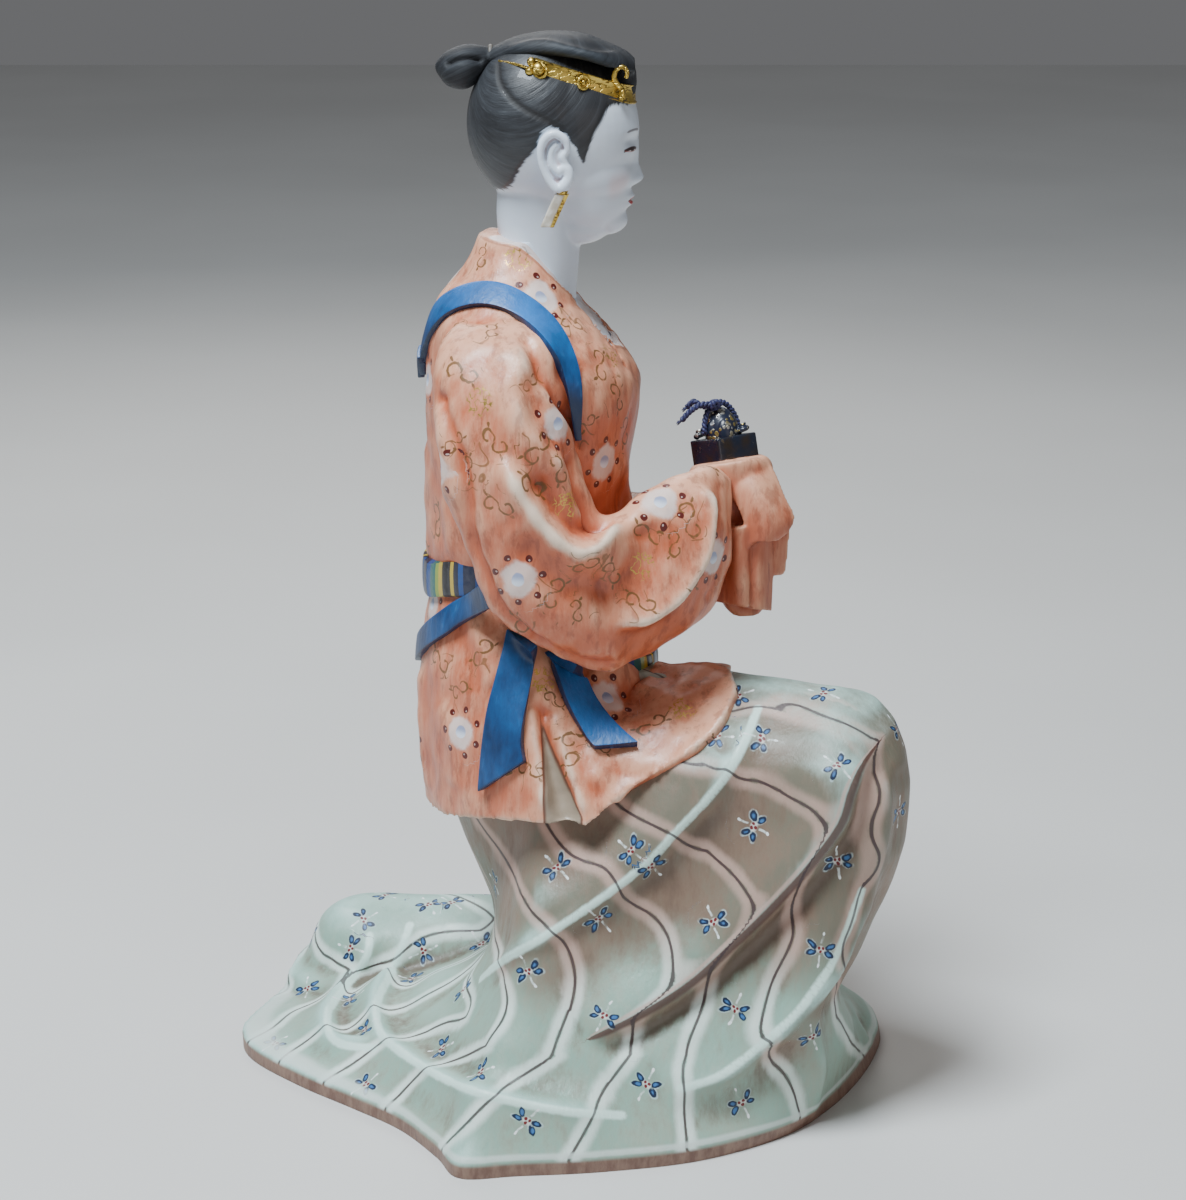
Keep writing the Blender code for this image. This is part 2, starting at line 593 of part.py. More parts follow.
def seal_cord():
    """The cord over the knob: a loop across its top, a knot behind it and two stiff tails."""
    frame = seat_frame()
    clear = CORD_DIAMETER / 2 + CONTACT_GAP
    loop = []
    for turn in np.radians(np.linspace(4, 176, 18)):
        across = (KNOB_DIAMETER / 2 + clear) * math.cos(turn)
        rise = SEAL_THICKNESS + clear + (KNOB_HEIGHT + 0.2 * MM) * math.sin(turn)
        loop.append(frame @ Vector((0, across, rise)))
    cord = tube("seal_cord", loop, CORD_DIAMETER)
    top = frame @ (Vector(CORD_KNOT) * KNOB_DIAMETER)
    for line in CORD_TAILS:
        points = [frame @ (Vector(point) * KNOB_DIAMETER) for point in through(line, 11)]
        boolean(cord, tube("tail", points, CORD_DIAMETER), "UNION")
    bm = bmesh.new()
    bmesh.ops.create_uvsphere(bm, u_segments=16, v_segments=10, radius=CORD_DIAMETER * 1.05)
    bmesh.ops.translate(bm, verts=bm.verts, vec=top)
    boolean(cord, new_object("knot", bm), "UNION")
    return cord


def material(name, colour, roughness, metallic=0.0):
    """A plain finish."""
    made = bpy.data.materials.new(name)
    made.use_nodes = True
    shader = made.node_tree.nodes["Principled BSDF"]
    shader.inputs["Base Color"].default_value = (*colour, 1)
    shader.inputs["Roughness"].default_value = roughness
    shader.inputs["Metallic"].default_value = metallic
    return made


def main():
    for old in list(bpy.data.objects):
        bpy.data.objects.remove(old)
    body = figure()
    boolean(body, new_object("seat", seal_block(CONTACT_GAP)), "DIFFERENCE")
    stamp = seal()
    cord = seal_cord()
    body.data.materials.append(material("painted clay", (0.62, 0.36, 0.26), 0.6))
    stamp.data.materials.append(material("dark lacquer", (0.02, 0.02, 0.035), 0.25))
    cord.data.materials.append(material("navy cord", (0.03, 0.02, 0.09), 0.7))
    model = bpy.data.collections.new("hakata doll")
    bpy.context.scene.collection.children.link(model)
    for part in (body, stamp, cord):
        model.objects.link(part)
        bpy.context.scene.collection.objects.unlink(part)


main()
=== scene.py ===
import math

import bmesh
import bpy
import numpy as np
from mathutils import Matrix, Vector
from mathutils.bvhtree import BVHTree

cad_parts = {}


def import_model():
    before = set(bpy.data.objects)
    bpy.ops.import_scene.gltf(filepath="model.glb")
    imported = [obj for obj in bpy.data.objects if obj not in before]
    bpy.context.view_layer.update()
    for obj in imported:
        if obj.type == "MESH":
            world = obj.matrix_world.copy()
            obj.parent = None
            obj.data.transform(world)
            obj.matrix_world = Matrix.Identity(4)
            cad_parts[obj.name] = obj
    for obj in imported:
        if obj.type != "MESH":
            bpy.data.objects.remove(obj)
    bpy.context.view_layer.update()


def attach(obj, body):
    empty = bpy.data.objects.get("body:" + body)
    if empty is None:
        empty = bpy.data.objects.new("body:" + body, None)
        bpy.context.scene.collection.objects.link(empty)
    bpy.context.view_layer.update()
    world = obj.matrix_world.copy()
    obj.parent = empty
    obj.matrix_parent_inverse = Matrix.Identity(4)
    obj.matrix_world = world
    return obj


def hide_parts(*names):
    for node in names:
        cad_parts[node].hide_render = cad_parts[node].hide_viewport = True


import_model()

# The view: the doll is seen from its right side, a little from above, from less than a metre away.
# It stands on a plain pale floor under one broad soft light from behind its shoulder and two weak ones.
eye = Vector((-0.860, 0.0, 0.400))
focal_pixels = 2920
frame_middle = (593, 600)
camera_data = bpy.data.cameras.new("view")
camera_data.sensor_fit = "VERTICAL"
camera_data.sensor_height = 24
camera_data.lens = focal_pixels / 1200 * 24
camera = bpy.data.objects.new("view", camera_data)
bpy.context.scene.collection.objects.link(camera)
camera.location = eye
camera.rotation_mode = "QUATERNION"
pitch = math.radians(16.3)
camera.rotation_quaternion = Vector((math.cos(pitch), 0, -math.sin(pitch))).to_track_quat("-Z", "Y")
bpy.context.scene.camera = camera
bpy.context.view_layer.update()

for name, place, size, power, tint in (
        ("window light", (-0.38, 0.34, 1.30), 0.45, 32, (0.84, 0.93, 1.0)),
        ("front fill", (-0.9, -0.75, 0.40), 0.7, 1.3, (1.0, 0.84, 0.76)),
        ("far rim", (0.9, 0.2, 0.8), 0.6, 4, (1.0, 0.98, 0.95))):
    lamp = bpy.data.lights.new(name, "AREA")
    lamp.energy = power
    lamp.size = size
    lamp.color = tint
    stand = bpy.data.objects.new(name, lamp)
    bpy.context.scene.collection.objects.link(stand)
    stand.location = place
    stand.rotation_mode = "QUATERNION"
    stand.rotation_quaternion = (Vector((0, 0, 0.14)) - Vector(place)).to_track_quat("-Z", "Y")

room = bpy.data.worlds.new("room")
room.use_nodes = True
room.node_tree.nodes["Background"].inputs["Color"].default_value = (0.86, 0.87, 0.9, 1)
room.node_tree.nodes["Background"].inputs["Strength"].default_value = 0.17
bpy.context.scene.world = room


class Tone:
    """One output of a shader node. Sums on it add Math nodes to the same material."""

    def __init__(self, tree, socket=None):
        self.tree = tree
        self.socket = socket

    def node(self, kind, settings=None, values=None, out=0):
        """Adds a node: its settings first, then its sockets' values or links. Gives one of its outputs."""
        made = self.tree.nodes.new("ShaderNode" + kind)
        for name, value in (settings or {}).items():
            if name == "stops":
                ramp = made.color_ramp
                while len(ramp.elements) < len(value):
                    ramp.elements.new(0.5)
                for element, (position, colour) in zip(ramp.elements, value):
                    element.position = position
                    element.color = (*colour, 1)
            else:
                setattr(made, name, value)
        for name, value in (values or {}).items():
            if isinstance(value, Tone):
                self.tree.links.new(value.socket, made.inputs[name])
            else:
                made.inputs[name].default_value = value
        return Tone(self.tree, made.outputs[out])

    def sum(self, operation, *others):
        return self.node("Math", {"operation": operation}, dict(enumerate((self, *others))))

    def __add__(self, other):
        return self.sum("ADD", other)

    __radd__ = __add__

    def __sub__(self, other):
        return self.sum("SUBTRACT", other)

    def __rsub__(self, other):
        return self.node("Math", {"operation": "SUBTRACT"}, {0: other, 1: self})

    def __mul__(self, other):
        return self.sum("MULTIPLY", other)

    __rmul__ = __mul__

    def __truediv__(self, other):
        return self.sum("DIVIDE", other)

    def __pow__(self, other):
        return self.sum("POWER", other)

    def size(self):
        return self.sum("ABSOLUTE")

    def ramp(self, low, high, to_low=0.0, to_high=1.0):
        """A smooth step between two values."""
        return self.node("MapRange", {"interpolation_type": "SMOOTHSTEP"},
                         {"Value": self, "From Min": low, "From Max": high, "To Min": to_low,
                          "To Max": to_high})

    def fade(self, low, high, top=1.0):
        """A smooth step down to nothing between two values."""
        return self.ramp(low, high, top, 0.0)

    def band(self, rise_from, rise_to, fall_from, fall_to):
        """1 between two smooth steps, 0 outside them."""
        return self.ramp(rise_from, rise_to) * self.fade(fall_from, fall_to)

    def parts(self):
        """The three numbers of a vector."""
        made = self.node("SeparateXYZ", None, {0: self}).socket.node
        return [Tone(self.tree, made.outputs[axis]) for axis in range(3)]

    def paint(self, under, over):
        """Lays one colour over another where this tone is 1."""
        values = {0: self, 6: under if isinstance(under, Tone) else (*under, 1),
                  7: over if isinstance(over, Tone) else (*over, 1)}
        return self.node("Mix", {"data_type": "RGBA"}, values, 2)


def span(x, y):
    """The length of a flat vector of two tones."""
    return (x * x + y * y) ** 0.5


def finish(name, roughness, metallic=0.0, coat=0.0, specular=0.5):
    """A new material, and a Tone to build on."""
    material = bpy.data.materials.new(name)
    material.use_nodes = True
    shader = material.node_tree.nodes["Principled BSDF"]
    for socket, value in (("Roughness", roughness), ("Metallic", metallic), ("Coat Weight", coat),
                          ("Specular IOR Level", specular)):
        shader.inputs[socket].default_value = value
    return material, Tone(material.node_tree)


def wire(tone, socket):
    """Links a tone to a socket of its material's shader."""
    tone.tree.links.new(tone.socket, tone.tree.nodes["Principled BSDF"].inputs[socket])


def noise(start, scale, detail=3.0, roughness=0.5, where=None):
    """Noise in object coordinates, in cycles a metre; a tuple stretches it."""
    spot = where or start.node("TexCoord", out="Object")
    stretch = scale if isinstance(scale, tuple) else (scale, scale, scale)
    spot = start.node("Mapping", None, {"Vector": spot, "Scale": stretch})
    return start.node("TexNoise", None, {"Vector": spot, "Scale": 1.0, "Detail": detail,
                                         "Roughness": roughness})


def relief(height, distance, strength):
    """Small bumps from a height tone."""
    wire(height.node("Bump", None, {"Height": height, "Distance": distance, "Strength": strength}), "Normal")


# The floor: a plain pale sheet, larger than the view, for the doll to stand on.
# It is matt and only faintly uneven in tone.
bpy.ops.mesh.primitive_plane_add(size=6)
floor = bpy.context.object
floor.name = "floor"
floor_material, start = finish("pale floor", 0.8)
wire(noise(start, 3.0).ramp(0.3, 0.7).paint((0.66, 0.65, 0.63), (0.70, 0.69, 0.67)), "Base Color")
floor.data.materials.append(floor_material)


# The skirt: the lower robe over the raised right knee, the kneeling left leg and the train behind.
# It is part of one hollow clay casting, smoothed by hand, then brushed with sage and rose washes,
# ruled with thin brown lines and dotted with small blue flowers, with painted shade in its hollows and
# painted highlights on its crests and upturned faces. It stands on a bare clay edge.
def place(points):
    """World positions in metres of points written as forward, right and up in millimetres."""
    points = np.asarray(points, float).reshape(-1, 3)
    return np.stack((-points[:, 1], -points[:, 0], points[:, 2]), 1) * 0.001


def world(point):
    return Vector(place(point)[0])


def measured(spot):
    """Forward, right and up in millimetres of a world position in metres."""
    return np.array((-spot[1], -spot[0], spot[2])) * 1000


def read(piece, kind="co"):
    """The points, or the normals, of a piece as forward, right and up."""
    found = np.empty(len(piece.data.vertices) * 3, np.float32)
    piece.data.vertices.foreach_get(kind, found)
    found = found.reshape(-1, 3).astype(float)
    return np.stack((-found[:, 1], -found[:, 0], found[:, 2]), 1) * (1000 if kind == "co" else 1)


def reshape(piece, points):
    piece.data.vertices.foreach_set("co", place(points).astype(np.float32).ravel())
    piece.data.update()


def through(rows, count, closed=False):
    """An even run of points on a smooth curve through the rows."""
    rows = np.asarray(rows, float)
    total = len(rows)
    last = total if closed else total - 1
    found = []
    for value in np.linspace(0, last, count, endpoint=not closed):
        at = min(int(value), last - 1)
        share = value - at
        picks = [at - 1, at, at + 1, at + 2]
        picks = [pick % total if closed else min(max(pick, 0), total - 1) for pick in picks]
        before, begin, end, after = rows[picks]
        found.append(0.5 * (2 * begin + (end - before) * share
                            + (2 * before - 5 * begin + 4 * end - after) * share ** 2
                            + (3 * begin - before - 3 * end + after) * share ** 3))
    return np.array(found)


def make(name, points, faces):
    mesh = bpy.data.meshes.new(name)
    mesh.from_pydata([tuple(point) for point in place(points)], [], faces)
    piece = bpy.data.objects.new(name, mesh)
    bpy.context.scene.collection.objects.link(piece)
    return piece


def loft(name, rings):
    """A closed skin over a stack of rings with the same number of points."""
    rings = np.asarray(rings, float)
    levels, count = rings.shape[:2]
    faces = []
    for level in range(levels - 1):
        for i in range(count):
            low, low_next = level * count + i, level * count + (i + 1) % count
            faces.append((low, low_next, low_next + count, low + count))
    faces.append(tuple(range(count)))
    faces.append(tuple(range((levels - 1) * count, levels * count)))
    piece = make(name, rings.reshape(-1, 3), faces)
    outward(piece)
    return piece


def only(piece):
    """Makes one piece the only selected one, and the active one."""
    bpy.ops.object.select_all(action="DESELECT")
    bpy.context.view_layer.objects.active = piece
    piece.select_set(True)


def outward(piece):
    only(piece)
    bpy.ops.object.mode_set(mode="EDIT")
    bpy.ops.mesh.select_all(action="SELECT")
    bpy.ops.mesh.normals_make_consistent(inside=False)
    bpy.ops.object.mode_set(mode="OBJECT")


def apply(piece, kind, **settings):
    """Adds a modifier and applies it."""
    modifier = piece.modifiers.new(kind.lower(), kind)
    for name, value in settings.items():
        setattr(modifier, name, value)
    only(piece)
    bpy.ops.object.modifier_apply(modifier=modifier.name)


def joined(name, forms):
    """Several meshes as one object."""
    only(forms[0])
    for form in forms[1:]:
        form.select_set(True)
    if len(forms) > 1:
        bpy.ops.object.join()
    forms[0].name = name
    return forms[0]


def run_together(name, forms, voxel, passes):
    """One clay body from several overlapping forms, with softened joins."""
    piece = joined(name, forms)
    apply(piece, "REMESH", mode="VOXEL", voxel_size=voxel)
    apply(piece, "SMOOTH", factor=0.5, iterations=passes)
    return piece


def dress(piece, material, angle=None):
    """Gives a piece its material and smooth shading, with edges kept that turn more than the angle."""
    piece.data.materials.append(material)
    only(piece)
    if angle is None:
        bpy.ops.object.shade_smooth()
    else:
        bpy.ops.object.shade_smooth_by_angle(angle=angle)


def oval(centre, first, second, count=64, squareness=2.0):
    """Points on an oval spanned by two half axes; over 2 it grows square."""
    turn = np.linspace(0, 2 * math.pi, count, endpoint=False)
    across = np.sign(np.cos(turn)) * np.abs(np.cos(turn)) ** (2 / squareness)
    along = np.sign(np.sin(turn)) * np.abs(np.sin(turn)) ** (2 / squareness)
    return np.asarray(centre) + across[:, None] * np.asarray(first) + along[:, None] * np.asarray(second)


def nearest(points, line):
    """For each point: its distance from a line, the way to it, the line's direction and the share run."""
    away = np.full(len(points), 1e9)
    offset = np.zeros((len(points), 3))
    heading = np.zeros((len(points), 3))
    share_run = np.zeros(len(points))
    steps = len(line) - 1
    for number, (begin, end) in enumerate(zip(line, line[1:])):
        along = end - begin
        share = np.clip((points - begin) @ along / (along @ along), 0, 1)
        gap = points - begin - share[:, None] * along
        distance = np.linalg.norm(gap, axis=1)
        closer = distance < away
        away[closer] = distance[closer]
        offset[closer] = gap[closer]
        heading[closer] = along / np.linalg.norm(along)
        share_run[closer] = (number + share[closer]) / steps
    return away, offset, heading, share_run


def sided(points, normals, line):
    """Signed distance from a line that lies on the surface: above 0 on one side of it."""
    away, offset, heading, share_run = nearest(points, line)
    side = np.sign(np.einsum("ij,ij->i", np.cross(heading, normals), offset))
    return away * np.where(side == 0, 1, side), share_run


def fold(points, normals, line, height, soft, sharp):
    """The rise of a fold of cloth: it falls softly on one side and steeply, into a hollow, on the other."""
    hollow = 0.35
    distance, run = sided(points, normals, line)
    ends = np.clip(np.minimum(run, 1 - run) * 6, 0.0, 1.0)
    ends = ends * ends * (3 - 2 * ends)
    width = np.where(distance > 0, sharp, soft)
    rise = height * np.exp(-(distance / width) ** 2)
    dip = hollow * height * np.exp(-((distance - 2.1 * sharp) / (1.3 * sharp)) ** 2)
    return (rise - dip) * ends


def folds(points, normals, tree, followed, by_hand):
    """The rise of all folds: those followed in the photograph and those listed."""
    rise = np.zeros(len(points))
    for pixels, *profile in followed:
        rise += fold(points, normals, drawn(tree, pixels), *profile)
    for line, *profile in by_hand:
        rise += fold(points, normals, through(line, 40), *profile)
    return rise


def crease(points, line, depth, width):
    """How deep a soft groove along a line goes in at each point."""
    return depth * np.exp(-(nearest(points, line)[0] / width) ** 2)


def surface_tree(piece):
    """A search tree over a piece, in world metres."""
    corners = [vertex.co for vertex in piece.data.vertices]
    return BVHTree.FromPolygons(corners, [face.vertices[:] for face in piece.data.polygons])


def sight(x, y):
    """The way from the eye through a pixel of the photograph."""
    across, upward = (x - frame_middle[0]) / focal_pixels, (frame_middle[1] - y) / focal_pixels
    return camera.matrix_world.to_3x3() @ Vector((across, upward, -1))


def seen(tree, pixels):
    """The points of a surface that lie behind pixels of the photograph."""
    hits = [tree.ray_cast(eye, sight(x, y).normalized())[0] for x, y in pixels]
    return np.array([measured(hit) for hit in hits if hit is not None])


def drawn(tree, pixels, count=40):
    """A smooth line on a surface through pixels of the photograph."""
    return through(seen(tree, through(np.array(pixels, float), 4 * len(pixels))), count)


def edge_ends(piece):
    """The numbers of the points at the first and the second end of each edge."""
    ends = np.empty(len(piece.data.edges) * 2, np.int32)
    piece.data.edges.foreach_get("vertices", ends)
    return ends[0::2], ends[1::2]


def spread(piece, values, passes):
    """Averages values over neighbouring points, again and again."""
    first, second = edge_ends(piece)
    count = np.bincount(first, minlength=len(values)) + np.bincount(second, minlength=len(values))
    values = values.astype(float)
    for _ in range(passes):
        total = np.zeros_like(values)
        for column in range(values.shape[1]):
            total[:, column] = (np.bincount(first, values[second, column], len(values))
                                + np.bincount(second, values[first, column], len(values)))
        values = 0.5 * values + 0.5 * total / count[:, None]
    return values


def even_normals(piece, passes):
    """The normals of the smoothed surface."""
    found = spread(piece, read(piece, "normal"), passes)
    return found / np.linalg.norm(found, axis=1)[:, None]


def stand_out(piece, passes):
    """How far each point stands above (or below 0, lies under) the smoothed surface, in millimetres."""
    points, normals = read(piece), read(piece, "normal")
    return np.einsum("ij,ij->i", points - spread(piece, points, passes), normals)


def store_form(piece, passes):
    """Keeps how far each point stands out from a little and from a lot around it, and how far it faces up."""
    store(piece, "crest", stand_out(piece, passes))
    store(piece, "broad", stand_out(piece, 200))
    store(piece, "lean", spread(piece, read(piece, "normal"), 10)[:, 2])


def closest_to(points, spots):
    """The number of the point that is closest to each spot."""
    return [int(np.argmin(np.linalg.norm(points - spot, axis=1))) for spot in spots]


def store(piece, name, values):
    """Keeps a number or a vector for each point, for the material to read."""
    values = np.asarray(values, np.float32)
    kind, field = ("FLOAT", "value") if values.ndim == 1 else ("FLOAT_VECTOR", "vector")
    layer = piece.data.attributes.new(name, kind, "POINT")
    layer.data.foreach_set(field, values.ravel())


def kept(start, name, out="Fac"):
    """A value that was stored on the mesh, as a tone."""
    return start.node("Attribute", {"attribute_name": name}, out=out)


def local_spots(points, normals, centres, facings, turns, reach):
    """Flat coordinates about the nearest painted motif: across it, along it and a number that differs."""
    found = np.full((len(points), 3), 99.0)
    best = np.full(len(points), 1e9)
    for number, (centre, facing, turn) in enumerate(zip(centres, facings, turns)):
        gap = points - centre
        distance = np.linalg.norm(gap, axis=1)
        near = (distance < np.minimum(best, reach)) & (normals @ facing > 0.1)
        across = turn - facing * (turn @ facing)
        across /= np.linalg.norm(across)
        along = np.cross(facing, across)
        pick = np.full(near.sum(), number * 0.37 % 1)
        found[near] = np.stack((gap[near] @ across, gap[near] @ along, pick), 1)
        best[near] = distance[near]
    return found


def at_height(rows, height):
    rows = np.asarray(rows, float)
    return [np.interp(height, rows[:, 0], rows[:, column]) for column in range(1, rows.shape[1])]


ground_outline = [
    (93, -8), (90, 8), (83, 27), (72, 47), (56, 66), (31, 81), (2, 88), (-22, 90.5), (-39, 92),
    (-46, 79), (-58, 61), (-74, 46), (-91, 31), (-108, 12), (-112.5, -4), (-108, -20), (-101, -38),
    (-95, -60), (-86, -84), (-66, -87), (-32, -84), (0, -79), (28, -72), (55, -60), (78, -40), (90, -24),
]
raised_leg = [
    (0, 72, 34, 20), (20, 68, 36, 20), (35, 60, 37, 20), (60, 64, 38, 22.5), (85, 69, 38, 25),
    (105, 70, 38, 25), (114, 70, 38, 23.5), (122, 71, 37, 19), (128, 72, 36, 12.5), (132, 70, 35, 3),
]
hips = [
    (0, 0, 2, 27), (36, 2, 3, 31), (54, 3, 3, 35), (74, 0, 2, 40), (89, -2, 0, 43),
    (105, -5, 0, 44), (112, -8, 8, 35), (116, -8, 18, 20), (119, 2, 27, 12), (121, 14, 31, 8),
    (123.5, 28, 33, 6), (126, 38, 34, 5), (129, 48, 34.5, 4), (132, 62, 35, 2),
]
kneeling_leg = [
    (0, 14, -37, 24), (30, 13, -35, 24), (60, 8, -29, 26), (100, 0, -18, 26), (114, -8, -6, 14),
    (132, -8, 12, 2),
]
cloth_spread = np.array([
    (0, 42, 2.0), (50, 110, 1.6), (105, 118, 1.6), (135, 76, 2.0), (165, 44, 2.6), (215, 40, 2.8),
    (250, 60, 2.2), (290, 75, 1.8), (330, 60, 2.0), (360, 42, 2.0),
])
edge_height = 5
turns = np.linspace(0, 2 * math.pi, 300, endpoint=False)
outline = through(ground_outline, 500, closed=True)
bearing = np.unwrap(np.arctan2(outline[:, 1], outline[:, 0]))
bearing = np.concatenate((bearing - 2 * math.pi, bearing, bearing + 2 * math.pi))
ground = np.interp(turns, bearing, np.tile(np.hypot(outline[:, 0], outline[:, 1]), 3))


def pulled_tight(height):
    """How far a cloth pulled round both legs and the hips reaches, for each direction."""
    discs = [at_height(form, height) for form in (raised_leg, hips, kneeling_leg)]
    heading = np.stack((np.cos(turns), np.sin(turns)))
    furthest = np.zeros(len(turns))
    for one, other in ((0, 1), (1, 2), (0, 2)):
        for share in np.linspace(0, 1, 25):
            forward, right, radius = np.array(discs[one]) * (1 - share) + np.array(discs[other]) * share
            along = forward * heading[0] + right * heading[1]
            inside = radius ** 2 - forward ** 2 - right ** 2 + along ** 2
            reach = along + np.sqrt(np.maximum(inside, 0))
            furthest = np.maximum(furthest, np.where(inside > 0, reach, 0))
    return furthest


def over_shin(points):
    """Lifts the train where it lies over the shin and foot of the kneeling leg."""
    begin, end, radius = np.array((16, -38, 15.0)), np.array((-76, -46, 13.0)), 19
    along = end - begin
    share = np.clip(((points - begin)[:, :2] @ along[:2]) / (along[:2] @ along[:2]), 0, 1)
    middle = begin + share[:, None] * along
    aside = np.hypot(*(points - middle)[:, :2].T)
    drop = 0.35 * np.maximum(aside - radius, 0)
    top = middle[:, 2] + np.sqrt(np.maximum(radius ** 2 - aside ** 2, 0)) - drop
    lifted = np.maximum(points[:, 2], np.where(aside < 1.5 * radius, top, 0))
    return np.column_stack((points[:, :2], lifted))


at_ground = pulled_tight(0)
level = np.degrees(turns)
spread_height = np.interp(level, cloth_spread[:, 0], cloth_spread[:, 1])
slope = np.interp(level, cloth_spread[:, 0], cloth_spread[:, 2])
rings = [np.column_stack((ground * np.cos(turns), ground * np.sin(turns), np.full(len(turns), height)))
         for height in (-4, 0)]
for height in edge_height + 127 * (1 - np.cos(np.linspace(0, math.pi, 100))) / 2:
    left = np.clip(1 - (height - edge_height) / spread_height, 0, 1)
    reach = pulled_tight(height) + (ground - at_ground) * left ** slope
    ring = np.column_stack((reach * np.cos(turns), reach * np.sin(turns), np.full(len(turns), height)))
    rings.append(over_shin(ring) if height > edge_height else ring)
skirt = run_together("skirt", [loft("skirt", rings)], 0.00125, 6)

# Folds of the near side are followed in the photograph; those of the far side are listed.
near_folds = [
    ([(760, 705), (735, 760), (718, 775), (690, 800), (665, 838), (640, 860), (600, 900), (560, 930),
      (530, 960), (500, 985)], 3.6, 11, 9),
    ([(758, 708), (735, 762), (709, 798), (673, 836), (651, 860), (615, 889), (552, 932), (502, 961),
      (480, 979)], 1.5, 2.6, 2.4),
    ([(884, 735), (862, 762), (848, 790), (838, 822), (813, 857), (786, 888), (759, 916), (725, 948),
      (691, 979), (660, 1000), (628, 1018), (596, 1034), (585, 1040)], 5.0, 15, 3.0),
    ([(862, 880), (850, 915), (838, 950), (815, 990), (790, 1020), (765, 1040), (720, 1075), (680, 1088),
      (660, 1095)], 3.4, 9, 5.5),
    ([(862, 890), (838, 952), (815, 990), (790, 1020), (765, 1042), (720, 1076), (680, 1089)], 1.2, 2.4, 2.0),
    ([(415, 915), (395, 965), (378, 1000), (378, 1025), (388, 1042), (425, 1068), (470, 1090), (520, 1103),
      (570, 1112), (622, 1115)], 3.0, 8, 4.5),
    ([(410, 925), (395, 965), (378, 1000), (378, 1025), (388, 1042), (425, 1068), (470, 1090), (520, 1103),
      (570, 1112), (622, 1115)], 1.2, 2.2, 1.8),
    ([(375, 925), (365, 960), (335, 1000), (328, 1015), (330, 1035), (345, 1045), (375, 1048)], 2.2, 6, 3.5),
    ([(370, 935), (365, 960), (335, 1000), (328, 1015), (330, 1035), (345, 1045), (375, 1048)],
     1.0, 2.2, 1.8),
    ([(690, 790), (655, 830), (610, 870), (570, 895), (530, 915)], 1.5, 7, 5),
    ([(880, 770), (884, 820), (872, 870), (860, 930)], 2.2, 6, 4),
    ([(855, 980), (850, 1010), (866, 1040), (880, 1055)], 1.6, 5, 3),
]
far_folds = [
    ([(38, -34, 100), (22, -46, 78), (4, -54, 56), (-16, -60, 36)], 4.2, 11, 5),
    ([(56, -26, 92), (46, -44, 62), (28, -58, 36), (8, -68, 18)], 4.4, 12, 5),
    ([(86, 12, 96), (84, -2, 66), (82, -16, 36), (84, -26, 14)], 3.2, 8, 5),
    ([(74, -22, 50), (66, -38, 28), (50, -54, 13)], 3.2, 8, 4),
    ([(-48, -66, 22), (-66, -70, 15), (-84, -66, 9), (-96, -50, 7)], 2.6, 7, 4),
    ([(60, 4, 108), (40, -16, 96), (18, -32, 88)], 3.0, 10, 6),
]
skirt_tree = surface_tree(skirt)
points, normals = read(skirt), read(skirt, "normal")
rise = folds(points, normals, skirt_tree, near_folds, far_folds)
forward, right, up = points.T
rise += 0.35 * np.sin(forward * 0.21 + up * 0.12) * np.cos(right * 0.17 - up * 0.09)
rise *= np.clip((points[:, 2] - 3.0) / 6, 0, 1)
reshape(skirt, points + normals * rise[:, None])
apply(skirt, "SMOOTH", factor=0.5, iterations=1)


def cut_flat(piece, height=0.0):
    """Cuts a piece off level at a height in metres and closes it."""
    only(piece)
    bpy.ops.object.mode_set(mode="EDIT")
    bpy.ops.mesh.select_all(action="SELECT")
    bpy.ops.mesh.bisect(plane_co=(0, 0, height), plane_no=(0, 0, 1), clear_inner=True, use_fill=True)
    bpy.ops.object.mode_set(mode="OBJECT")


cut_flat(skirt)

# The ruled lines: each is followed in the photograph, and a smooth count from line to line fills the rest.
ruled_lines = {
    0: [(472, 810), (513, 873), (552, 932), (574, 970), (575, 988), (559, 1034), (533, 1069), (500, 1091),
        (471, 1119), (446, 1144)],
    1: [(549, 828), (579, 860), (602, 865), (620, 892), (653, 916), (671, 947), (673, 970), (667, 1003),
        (656, 1030),
        None, (633, 1028), (607, 1085), (587, 1128), (570, 1157)],
    2: [(616, 803), (644, 821), (669, 833), (695, 848), (716, 859), (736, 878), (750, 898), (755, 920),
        (754, 932),
        None, (709, 975), (704, 1003), (686, 1054), (684, 1087), (689, 1153)],
    3: [(682, 762), (703, 764), (722, 770), (747, 779), (774, 788), (803, 804), (818, 817), (828, 829), None,
        (801, 881), (793, 921), (770, 988), (761, 1040), (773, 1041), (783, 1072), (800, 1118)],
    4: [(722, 713), (755, 706), (785, 706), (824, 716), (856, 729), (876, 742), None, (874, 765), (878, 783),
        (872, 840), (862, 888), (857, 901), (842, 952), (835, 1003), (849, 1039), (867, 1065)],
    -1: [(503, 974), (507, 993), (501, 1023), (481, 1048), (452, 1061), (424, 1069), (391, 1103)],
    -2: [(470, 974), (470, 1009), (454, 1021), (424, 1033), (385, 1039), (361, 1058), (332, 1076)],
    -3: [(481, 956), (460, 976), (430, 993), (379, 1007), (328, 1025), (307, 1040), (283, 1058)],
    -4: [(491, 923), (454, 931), (407, 948), (381, 964), (344, 986), (303, 1007), (271, 1029), (248, 1042)],
}
skirt_tree = surface_tree(skirt)
points, normals = read(skirt), read(skirt, "normal")
lap_line = drawn(skirt_tree, near_folds[2][0])


